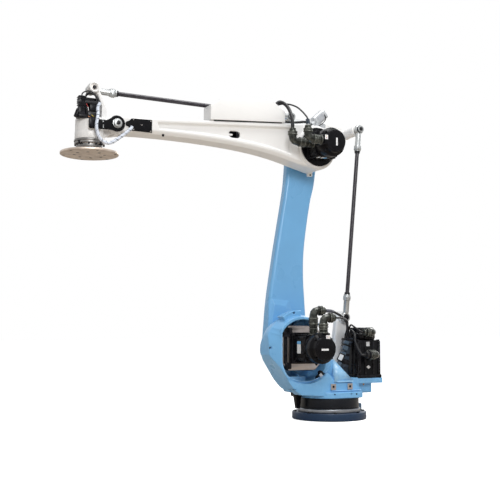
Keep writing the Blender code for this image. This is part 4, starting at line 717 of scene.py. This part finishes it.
# The knurl rings alternate plain olive with the lighter olive, a painted highlight.
STRAIGHT_RIDGES = ((0.03, 0.0262, 0.003, OLIVE_HIGHLIGHT), (0.2, 0.0236, 0.0022, OLIVE),
                   (0.32, 0.024, 0.0026, OLIVE_HIGHLIGHT), (0.44, 0.0236, 0.0022, OLIVE),
                   (0.58, 0.0262, 0.003, OLIVE_HIGHLIGHT), (0.7, 0.0256, 0.0022, OLIVE),
                   (0.83, 0.0262, 0.003, OLIVE_HIGHLIGHT))
DOWN_RIDGES = ((0.26, 0.026, 0.0028, OLIVE_HIGHLIGHT), (0.42, 0.0256, 0.0022, OLIVE),
               (0.58, 0.026, 0.0028, OLIVE_HIGHLIGHT), (0.76, 0.0185, 0.0022, OLIVE),
               (0.92, 0.018, 0.0026, OLIVE_HIGHLIGHT))
motor("j1", motor_frame((-0.235, 0.0, 0.2363), UP, NEAR), 0.304, 0.172, (0.184, 0.02), 0.075,
      {"power": (0.0863, 0.174, 0.142), "encoder": (0.0883, 0.14, 0.277)}, "waist")
gathered("j1_cap_plate", [slab(PRINT, (-0.2221, 0.0862, 0.4412), (0.034, 0.0012, 0.026), 0.0)],
         "waist")
gathered("j1_body_plate", [bar(PLATE_WHITE, (0, 0, 0), NEAR, 0.015, 0.0012, sides=4,
                               place=Matrix.Translation((-0.2273, 0.0888, 0.3023))
                               @ Matrix.Diagonal((1.0, 1.0, 0.72, 1.0)))], "waist")
gathered("j1_plug_necks",
         [bar(BLACK, (-0.178, 0.174, 0.3783), (1, 0, 0), 0.03, 0.015, 0.002, 6),
          bar(CABLE, (-0.162, 0.174, 0.3783), (1, 0, 0), 0.0205, 0.02, 0.002, 24)], "waist")

# The lower arm's drive: the dark gearbox case in the bowl, a machined aluminium plate with
# cut corners, and its motor.
machined("j2_reducer_case", DRUM_BLACK, 0.002)
adapter = machined("j2_adapter_plate", ALUMINIUM, 0.0015)
# The plate's sides that face along +X get the dark gearbox paint: painted shade from the bowl's
# wall.
adapter.data.materials.append(DRUM_BLACK)
for face in adapter.data.polygons:
    if face.normal.x > 0.6:
        face.material_index = 1
PLATE_FACE_Y = 0.086
screws("plate_screws", BLACK, [(0.235 + sx * 0.097, PLATE_FACE_Y - 0.013, 0.422 + sz * 0.097)
                               for sx in (-1, 1) for sz in (-1, 1)], NEAR, 0.0078, 0.011, "waist")
# The first black slab covers the plate's side as painted shade in the bowl; the rest are the motor
# flange's ears.
ear_and_shade_slabs = [slab(BLACK, (0.3475, 0.09, 0.418), (0.023, 0.01, 0.17), 0.002),
        slab(BLACK, (0.337, 0.0945, 0.514), (0.066, 0.017, 0.054), 0.01),
        slab(BLACK, (0.33, 0.0925, 0.32), (0.04, 0.013, 0.038), 0.01),
        bar(BLACK, (0.34, 0.1, 0.525), NEAR, 0.0165, 0.012, 0.002),
        bar(BLACK, (0.334, 0.096, 0.318), NEAR, 0.0135, 0.01, 0.002)]
gathered("j2_flange_ear_and_shade_slabs", ear_and_shade_slabs, "waist")
motor("j2", motor_frame((0.235, 0.0863, 0.422), NEAR, UP), 0.266, 0.15, (0.18, 0.043), 0.107,
      {"power": (0.0753, 0.2144, 0.131), "encoder": (0.0883, 0.1734, 0.239)}, "waist")
MOTOR_SIDE_X = 0.3105
gathered("j2_body_plate", [
    slab(PRINT, (MOTOR_SIDE_X + 0.0035, 0.188, 0.42), (0.0012, 0.04, 0.052), 0.0),
    slab(PLATE_BLUE, (MOTOR_SIDE_X + 0.0037, 0.188, 0.455), (0.0012, 0.04, 0.016), 0.0)], "waist")

# The rear rod's fixed lever, and the dark connector column beside the swivel motor.
cast("link_bracket", WHITE)
machined("link_bracket_pin", BLACK)
machined("connector_stack", BLUE_GREY, 0.0015)
STACK_SLOPE = (0, -13.5, 0)
column = [slab(BLACK, (-0.086, 0.03, 0.335), (0.05, 0.062, 0.03), 0.003, STACK_SLOPE),
          slab(BLACK, (-0.094, 0.03, 0.378), (0.038, 0.056, 0.012), 0.002, STACK_SLOPE),
          slab(BLACK, (-0.108, 0.03, 0.43), (0.038, 0.056, 0.012), 0.002, STACK_SLOPE),
          slab(BLACK, (-0.116, 0.03, 0.466), (0.046, 0.064, 0.016), 0.003, STACK_SLOPE)]
for x, y in ((-0.114, 0.016), (-0.11, 0.036), (-0.127, 0.048), (-0.129, 0.018)):
    column.append(bar(BLACK, (x, y, 0.481), UP, 0.0098, 0.01, 0.001, 16))
gathered("stack_blocks", column, "waist")
faces = [slab(LIGHT_SLATE, spot, size, 0.003, (0, -20, 0))
         for spot, size in (((-0.0899, 0.056, 0.4501), (0.026, 0.026, 0.02)),
                            ((-0.0824, 0.056, 0.4178), (0.028, 0.026, 0.026)),
                            ((-0.0691, 0.056, 0.3845), (0.024, 0.026, 0.018)),
                            ((-0.037, 0.056, 0.3201), (0.022, 0.026, 0.03)))]
gathered("stack_faces", faces, "waist")
TAG_TURN = (-26, 0, 55)
gathered("stack_plate",
         [slab(BLACK, (-0.0483, 0.062, 0.3634), (0.012, 0.036, 0.048), 0.003, TAG_TURN),
          slab(PRINT, (-0.0483 + 0.0042, 0.062 + 0.0058, 0.3634), (0.0012, 0.024, 0.034), 0.0,
               TAG_TURN)], "waist")


# Motor cables: black jacketed leads between the connectors, each along one smooth curve.
def lead(node, finish, route, radius, body):
    """A cable along a smooth curve, which replaces its solid."""
    run = smooth_run(route)
    piece = line(f"{node}_lead", finish, [run], radius, body)
    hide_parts(node)
    return run


J2_POWER_ROUTE = ((0.1564, 0.2173, 0.6364), (0.1404, 0.2173, 0.6364), (0.0964, 0.1953, 0.6344),
                  (0.0064, 0.1373, 0.6144), (-0.08, 0.074, 0.58), (-0.116, 0.03, 0.53),
                  (-0.114, 0.016, 0.4966), (-0.114, 0.016, 0.487))
J2_ENCODER_ROUTE = ((0.1564, 0.3253, 0.5954), (0.1424, 0.3253, 0.5954), (0.0864, 0.2853, 0.5944),
                    (-0.0136, 0.1853, 0.5794), (-0.074, 0.1, 0.556), (-0.106, 0.052, 0.516),
                    (-0.11, 0.036, 0.4966), (-0.11, 0.036, 0.487))
J1_POWER_ROUTE = ((-0.1564, 0.174, 0.3783), (-0.1404, 0.174, 0.3783), (-0.1224, 0.162, 0.3863),
                  (-0.112, 0.125, 0.45), (-0.131, 0.088, 0.4976), (-0.125, 0.062, 0.5216),
                  (-0.127, 0.048, 0.4966), (-0.127, 0.048, 0.487))
J1_ENCODER_ROUTE = ((-0.1564, 0.14, 0.5133), (-0.1424, 0.14, 0.5133), (-0.108, 0.118, 0.545),
                    (-0.122, 0.062, 0.556), (-0.135, 0.018, 0.5296), (-0.129, 0.018, 0.4966),
                    (-0.129, 0.018, 0.487))
power_run = lead("j2_power_cable", CABLE, J2_POWER_ROUTE, 0.0078, "waist")
lead("j2_encoder_cable", CABLE, J2_ENCODER_ROUTE, 0.0055, "waist")
lead("j1_power_cable", CABLE, J1_POWER_ROUTE, 0.0078, "waist")
lead("j1_encoder_cable", CABLE, J1_ENCODER_ROUTE, 0.0055, "waist")
GREY_TUBE = paint("shrink_tube", (0.07, 0.075, 0.1), (0.15, 0.16, 0.19), 0.42, peel=0.05)
line("j2_cable_sleeve", GREY_TUBE, [power_run[3:14]], 0.0102, "waist")
gathered("cable_ties", [rib(BLACK, (-0.07, 0.0815, 0.5845), (-0.8, -0.6, -0.4), 0.0092, 0.0016)],
         "waist")

# The lower arm: one blue casting, with bare steel flanges at its joints.
HUB = Vector((0.235, 0.0, 0.422))
HUB_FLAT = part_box("lower_arm")[1].x - HUB.x - 0.0135
cast("lower_arm", SKY_BLUE, [(HUB + Vector(way).normalized() * HUB_FLAT, way)
                             for way in ((1.0, 0.0, 0.04), (0.8366, 0.0, -0.5479))])
for node in ("j2_output_flange", "j3_bearing_flange", "elbow_pivot_pin"):
    machined(node, STEEL)

# The elbow lever: a white triangular casting that carries both rods' pins.
cast("elbow_link", WHITE)
machined("rear_link_pin", BLACK)
machined("front_link_pin", BLACK)

# The upper arm: a white casting with a deep web pocket on each side, a fork for the wrist
# and an oval window with a lug in it.
cast("upper_arm", WHITE)
ARM_RISE = math.radians(0.35)
arm = Matrix.Translation((0.119506, 0.0, 1.621452)) @ Matrix.Rotation(-ARM_RISE, 4, "Y")
window = [bar(BLACK, (0.556, 0.0, 0.026), NEAR, 0.0195, 0.084, place=arm),
          bar(BLACK, (0.522, 0.0, 0.026), NEAR, 0.0195, 0.084, place=arm),
          slab(BLACK, (0.539, 0.0, 0.026), (0.034, 0.084, 0.039), 0.0, place=arm)]
gathered("window_lining", window, "upper_arm")
gathered("window_lug", [
    slab(WHITE, (0.5665, 0.047, 0.0235), (0.018, 0.012, 0.012), 0.003, place=arm),
    bar(WHITE, (0.556, 0.047, 0.0235), NEAR, 0.006, 0.012, 0.002, 16, place=arm)], "upper_arm")

# The rods' eyes: a zinc washer with a dark socket head on the near end of each pin. The
# front one stops short of the connector hood, which it would meet with the arm raised.
HOOD_CLEAR_Y = -0.0305
for name, nodes, x, z in (
        ("rear_eye", ("rear_link_pin", "rear_rod_far_end"), -0.283494, 1.803452),
        ("front_eye", ("front_link_pin", "front_rod_start_end"), 0.226506, 1.825952)):
    front = [skin_point(node, (x, 0.5, z), AWAY) for node in nodes]
    spot = Vector((x, max(point.y for point in front if point is not None), z))
    if name == "front_eye":
        spot.y = HOOD_CLEAR_Y
    gathered(f"{name}_washer", [bar(ZINC, spot, NEAR, 0.0215, 0.004, 0.001, 40)], "elbow_link")
    gathered(f"{name}_socket", [
        bar(CABLE, spot + Vector((0, 0.0022, 0)), NEAR, 0.014, 0.0016, 0.0, 6)], "elbow_link")
# A dark disc on the lug stands for its hole: painted shade.
gathered("arm_lug_hole_shade", [bar(CABLE, (-0.029, -0.0487, -0.1455), NEAR, 0.0052, 0.0012, place=arm)],
         "upper_arm")
nub_place = skin_point("upper_arm", (1.0999, 0.06, 1.0), UP)
gathered("arm_underside_screw", [
    bar(BLACK, nub_place - Vector((0, 0, 0.003)), UP, 0.0065, 0.012, 0.001, 16)], "upper_arm")

# The cable cover: folded white sheet over the top of the arm, with its place for lettering
# left bare, over a dark strip painted as the shadow under its overhanging edge.
machined("cable_cover", WHITE, 0.002)
COVER_SHADOW = paint("cover_painted_shadow", (0.01, 0.01, 0.011), (0.03, 0.03, 0.03), 0.7)
# The dark strip under the cover's edge is a painted shadow.
seal = slab(COVER_SHADOW, (0.459, 0.0745, 0.1068), (0.44, 0.006, 0.0065), 0.0, (0, 4.85, 0), arm)
gathered("cover_shadow_strip", [seal], "upper_arm")
machined("connector_hood", PALE_GREY, 0.002)
HOOD_PANEL = paint("hood_panel", (0.38, 0.4, 0.43), (0.6, 0.6, 0.62), 0.4, metallic=0.3)
gathered("hood_panel", [slab(HOOD_PANEL, (0.056, 0.0263, 1.823), (0.03, 0.0016, 0.046), 0.0,
                             (0, -45, 0))], "upper_arm")

# The elbow's drive: a black disc on the arm's boss, the motor on it, and its cables from
# the cover.
machined("j3_motor_flange", BLACK, 0.0015)
j3_place = arm @ motor_frame((0.0, 0.0986, 0.0), NEAR, (1, 0, 0))
motor("j3", j3_place, 0.197, 0.15, (0.164, 0.012), 0.107,
      {"power": (0.0753, 0.2144, 0.062), "encoder": (0.0883, 0.1734, 0.17)}, "upper_arm")
disc_spots = [arm @ spot for spot in ring_spots((0, 0.0983, 0), 0.109, 12, 0.13, "XZ")]
screws("j3_disc_screws", BLACK, disc_spots, NEAR, 0.005, 0.005, "upper_arm")
j3_back = j3_place @ Matrix.Rotation(math.radians(180), 4, "Z")
gathered("j3_body_plate",
         [slab(PRINT, (-0.024, -0.0785, 0.062), (0.04, 0.0012, 0.034), 0.0, place=j3_back),
          slab(PLATE_BLUE, (0.008, -0.0787, 0.062), (0.014, 0.0012, 0.034), 0.0, place=j3_back)],
         "upper_arm")
lead("hood_cable", CABLE,
     ((0.1128, 0.0, 1.7754), (0.123, 0.004, 1.7745), (0.15, 0.026, 1.78), (0.186, 0.042, 1.779),
      (0.225, 0.043, 1.772), (0.2686, 0.036, 1.768), (0.3351, 0.024, 1.7728)), 0.0075, "upper_arm")
line("hood_latch", BLACK,
     [smooth_run(((0.033, 0.0285, 1.845), (0.024, 0.0295, 1.82), (0.042, 0.0295, 1.793),
                  (0.07, 0.029, 1.772)))], 0.0024, "upper_arm")
lead("j3_power_cable", CABLE,
     ((0.3866, 0.05, 1.8527), (0.377, 0.05, 1.8665), (0.361, 0.052, 1.8775), (0.344, 0.064, 1.872),
      (0.331, 0.088, 1.849), (0.327, 0.117, 1.813), (0.3295, 0.145, 1.766),
      (0.3333, 0.1606, 1.725), (0.3334, 0.1606, 1.7014)), 0.0105, "upper_arm")
lead("j3_encoder_cable", CABLE,
     ((0.3786, 0.01, 1.847), (0.368, 0.01, 1.862), (0.342, 0.04, 1.87), (0.315, 0.09, 1.86),
      (0.301, 0.15, 1.833), (0.297, 0.2, 1.799), (0.2965, 0.242, 1.766), (0.2955, 0.266, 1.742),
      (0.2945, 0.2684, 1.729)), 0.0048, "upper_arm")
gathered("j3_encoder_gland",
         [bar(BLUE_GREY, (0.2934, 0.2686, 1.718), (0.08, 0, 1), 0.0118, 0.034, 0.001, 24),
          bar(ZINC, (0.2924, 0.2686, 1.701), (0.08, 0, 1), 0.015, 0.007, 0.001, 6)], "upper_arm")

# The wrist: a white casting with the tool gearbox's housing and the lever to the front rod.
# A black torque lever and a screwed black plate carry the wrapped lead past the joint.
cast("wrist_head", WHITE)
machined("wrist_link_pin", BLACK)
EYE_STEP = 0.0165
eye_face = (skin_point("wrist_head", (1.481482 + EYE_STEP, 0.3, 1.833619), AWAY)
            - Vector((EYE_STEP, 0, 0)))
gathered("wrist_eye_ring", [bar(STEEL, eye_face, NEAR, 0.022, 0.0016, 0.0004, 40)], "wrist")
gathered("wrist_eye_socket",
         [bar(CABLE, eye_face + Vector((0, 0.0008, 0)), NEAR, 0.0115, 0.0022, 0.0, 6)], "wrist")
machined("wrist_torque_lever", BLACK, 0.0015)
machined("wrist_pin", ZINC)
machined("wrist_cable_plate", BLACK, 0.0006)
WRIST = Vector((1.374482, 0.0, 1.629119))
gathered("wrist_pin_socket",
         [bar(CABLE, WRIST + Vector((0, 0.118, 0)), NEAR, 0.0122, 0.004, 0.0008, 6)], "wrist")
gathered("wrist_pin_washer",
         [bar(ZINC, WRIST + Vector((0, 0.102, 0)), NEAR, 0.0235, 0.006, 0.0012, 6)], "wrist")
gathered("torque_lever_pad", [
    slab(BLACK, WRIST + Vector((0.137, 0.096, -0.009)), (0.038, 0.014, 0.052), 0.005)], "wrist")
screws("torque_lever_screws", ZINC,
       [WRIST + Vector((0.078, 0.0986, z)) for z in (0.012, 0.001, -0.019, -0.03)], NEAR, 0.003,
       0.0025, "wrist")
PLATE_HOLES = ((1.06, 0.038), (1.06, -0.019), (1.16, 0.035), (1.158, -0.019), (1.112, 0.01))
screws("cable_plate_screws", STEEL, [arm @ Vector((x, 0.0803, z)) for x, z in PLATE_HOLES],
       NEAR, 0.003, 0.0022, "upper_arm")
WRAPPED = ((1.465, 0.072, 1.736), (1.477, 0.0755, 1.7089), (1.479, 0.085, 1.6699),
           (1.487, 0.106, 1.6431), (1.494, 0.113, 1.6048), (1.4899, 0.113, 1.5715),
           (1.4768, 0.113, 1.5389), (1.4535, 0.112, 1.5186), (1.4247, 0.1111, 1.5141),
           (1.3959, 0.1111, 1.5272), (1.3612, 0.1111, 1.5535), (1.3264, 0.1111, 1.5828),
           (1.305, 0.109, 1.603), (1.2945, 0.104, 1.6171))
WRAP_RADIUS, WRAP_PITCH = 0.0088, 0.03
wrapped_run = lead("wrist_cable", SLEEVE, WRAPPED, WRAP_RADIUS, "wrist")
turns = []
fine = smooth_run(wrapped_run, 8)
travelled = 0.0
for a, b in zip(fine, fine[1:]):
    a, b = Vector(a), Vector(b)
    travelled += (b - a).length
    ahead = (b - a).normalized()
    side = ahead.cross(Vector((0, 1, 0.2))).normalized()
    phase = math.tau * travelled / WRAP_PITCH
    swing = math.cos(phase) * side + math.sin(phase) * ahead.cross(side)
    turns.append(tuple(b + WRAP_RADIUS * swing))
line("wrist_lead_wrap", BLACK, [turns[i:i + 12] for i in range(6, len(turns) - 14, 34)], 0.0016,
     "wrist")
line("wrist_lead_seam", GREY_TUBE, [turns], 0.0007, "wrist")

# The tool's drive: a small motor under a moulded cap, with its plugs and loose leads, and
# the flanged gearbox below.
TOOL_AXIS = Vector((1.496982, 0.0, 0.0))
machined("j4_motor", BLACK, 0.002)
cap = machined("j4_motor_cap", BLACK, 0.003)
CAP_FOOT_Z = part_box("j4_motor_cap")[0].z
cap.data.transform(Matrix.Translation((0, 0, CAP_FOOT_Z))
                   @ Matrix.Diagonal((1.0, 1.0, 0.52, 1.0))
                   @ Matrix.Translation((0, 0, -CAP_FOOT_Z)))
machined("j4_reducer_case", STEEL, 0.0015)
lead("j4_motor_lead", CABLE,
     ((1.531, 0.034, 1.764), (1.531, 0.0345, 1.774), (1.52, 0.042, 1.786), (1.5, 0.048, 1.786),
      (1.476, 0.06, 1.77), (1.466, 0.069, 1.742)), 0.0045, "wrist")
plugs = [slab(BLACK, (1.5615, 0.06, 1.736), (0.04, 0.034, 0.06), 0.007),
         slab(CABLE, (1.529, 0.061, 1.733), (0.11, 0.03, 0.016), 0.003),
         slab(BLACK, (1.563, 0.06, 1.68), (0.036, 0.032, 0.056), 0.006),
         bar(BLACK, (1.583, 0.06, 1.67), (-0.35, 0, 1), 0.0135, 0.046, 0.003, 20),
         bar(BLACK, (1.533, 0.064, 1.686), (0.1, 0, 1), 0.0135, 0.05, 0.003, 20),
         slab(BLACK, (1.496, 0.06, 1.706), (0.046, 0.026, 0.046), 0.004),
         slab(CABLE, (1.505, 0.066, 1.668), (0.05, 0.026, 0.028), 0.004),
         slab(BLACK, (1.527, 0.052, 1.656), (0.112, 0.056, 0.02), 0.006)]
plugs += [rib(BLACK, (1.533, 0.064, z), UP, 0.0138, 0.0016) for z in (1.668, 1.678, 1.69, 1.7)]
plugs += [slab(BLACK, (1.5615, 0.06, z), (0.043, 0.037, 0.004), 0.001)
          for z in (1.714, 1.726, 1.746, 1.757)]
gathered("j4_plugs", plugs, "wrist")
ARCS = (((1.56, 0.06, 1.766), (1.558, 0.06, 1.779), (1.5436, 0.06, 1.791),
         (1.5237, 0.06, 1.7965), (1.5005, 0.06, 1.791), (1.4798, 0.062, 1.77),
         (1.4719, 0.066, 1.7505), (1.4715, 0.07, 1.729)),
        ((1.5425, 0.064, 1.745), (1.5419, 0.066, 1.764), (1.5365, 0.066, 1.778),
         (1.5195, 0.066, 1.787), (1.5021, 0.066, 1.783), (1.4874, 0.066, 1.769),
         (1.4796, 0.066, 1.742)))
for number, route in enumerate(ARCS):
    run = smooth_run(route)
    piece = line(f"j4_arc_{number}", CABLE, [run], 0.0034, "wrist")
for tint, colour, route in (
        ("red", (0.45, 0.02, 0.02),
         ((1.54, 0.076, 1.721), (1.536, 0.08, 1.713), (1.531, 0.08, 1.704))),
        ("white", (0.75, 0.75, 0.75),
         ((1.533, 0.078, 1.706), (1.53, 0.0805, 1.696), (1.528, 0.08, 1.685))),
        ("yellow", (0.6, 0.45, 0.05),
         ((1.512, 0.078, 1.664), (1.505, 0.0815, 1.659), (1.498, 0.08, 1.656))),
        ("orange", (0.6, 0.2, 0.04),
         ((1.53, 0.08, 1.656), (1.524, 0.082, 1.651), (1.518, 0.081, 1.65)))):
    wire = paint(f"{tint}_wire", colour, colour, 0.4, peel=0.0)
    line(f"j4_{tint}_wire", wire, [smooth_run(route)], 0.0016, "wrist")


def round_band(name, finish, low, high, radius, edge=0.001):
    """A round piece on the tool's axis between two heights."""
    centre = TOOL_AXIS + Vector((0, 0, (low + high) / 2))
    return gathered(name, [bar(finish, centre, UP, radius, high - low, edge, 64)], "wrist")


DULL_STEEL = metal("reducer_steel", (0.2, 0.195, 0.19), (0.08, 0.075, 0.07), 0.32)
round_band("wrist_lower_band", WHITE, 1.543, 1.586, 0.0798, 0.0025)
round_band("reducer_rim", DULL_STEEL, 1.531, 1.541, 0.0835)
round_band("reducer_gap", CABLE, 1.527, 1.531, 0.078)
round_band("reducer_body", DULL_STEEL, 1.518, 1.527, 0.0815)
round_band("reducer_neck", DULL_STEEL, 1.496, 1.518, 0.0735)
round_band("reducer_seal", CABLE, 1.4875, 1.496, 0.0745)
screws("reducer_screws", BLACK, ring_spots(TOOL_AXIS + Vector((0, 0, 1.519)), 0.0765, 12, 0.2),
       (0, 0, -1), 0.0042, 0.0085, "wrist")
screws("reducer_rim_screws", BLACK, ring_spots(TOOL_AXIS + Vector((0, 0, 1.53)), 0.08, 4, 0.55),
       (0, 0, -1), 0.006, 0.018, "wrist")
machined("tool_output_flange", BLACK, 0.0008)
machined("tool_disc", TOOL_STEEL)
DISC_UNDERSIDE_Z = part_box("tool_disc")[0].z
# Dark discs under the disc at its hole circles: painted shade for the holes.
holes = [bar(CABLE, spot, UP, radius, 0.0004, sides=24)
         for circle, count, radius in ((0.08, 8, 0.0082), (0.14, 6, 0.007))
         for spot in ring_spots(TOOL_AXIS + Vector((0, 0, DISC_UNDERSIDE_Z - 0.0001)), circle,
                                count, math.pi / count + 0.02)]
gathered("tool_disc_hole_shade", holes, "tool")

# The levelling rods: charcoal tubes with zinc-plated ball ends, each locked by a hex nut.
ROD_LEAN = math.radians(5.5)
for rod, axis, start, far in (
        ("rear", (-math.sin(ROD_LEAN), 0, math.cos(ROD_LEAN)), (-0.168, -0.068, 0.604), 1.205),
        ("front", (math.cos(ARM_RISE), 0, math.sin(ARM_RISE)), (0.226506, -0.052, 1.825952),
         1.255)):
    machined(f"{rod}_rod_tube", CHARCOAL, 0.0)
    machined(f"{rod}_rod_start_end", ZINC)
    machined(f"{rod}_rod_far_end", ZINC)
    start, along = Vector(start), Vector(axis)
    nuts = [bar(ZINC, start + along * at, axis, 0.0262, 0.019, 0.0018, 6)
            for at in (0.124, far - 0.124)]
    nuts += [bar(ZINC, start + along * at, axis, 0.0205, 0.005, 0.001, 24)
             for at in (0.14, far - 0.14)]
    seals = [bar(CABLE, start + along * at, axis, 0.0172, 0.012, 0.0008)
             for at in (0.1495, far - 0.1495)]
    gathered(f"{rod}_rod_seals", seals, f"{rod}_rod")
    gathered(f"{rod}_rod_nuts", nuts, f"{rod}_rod")
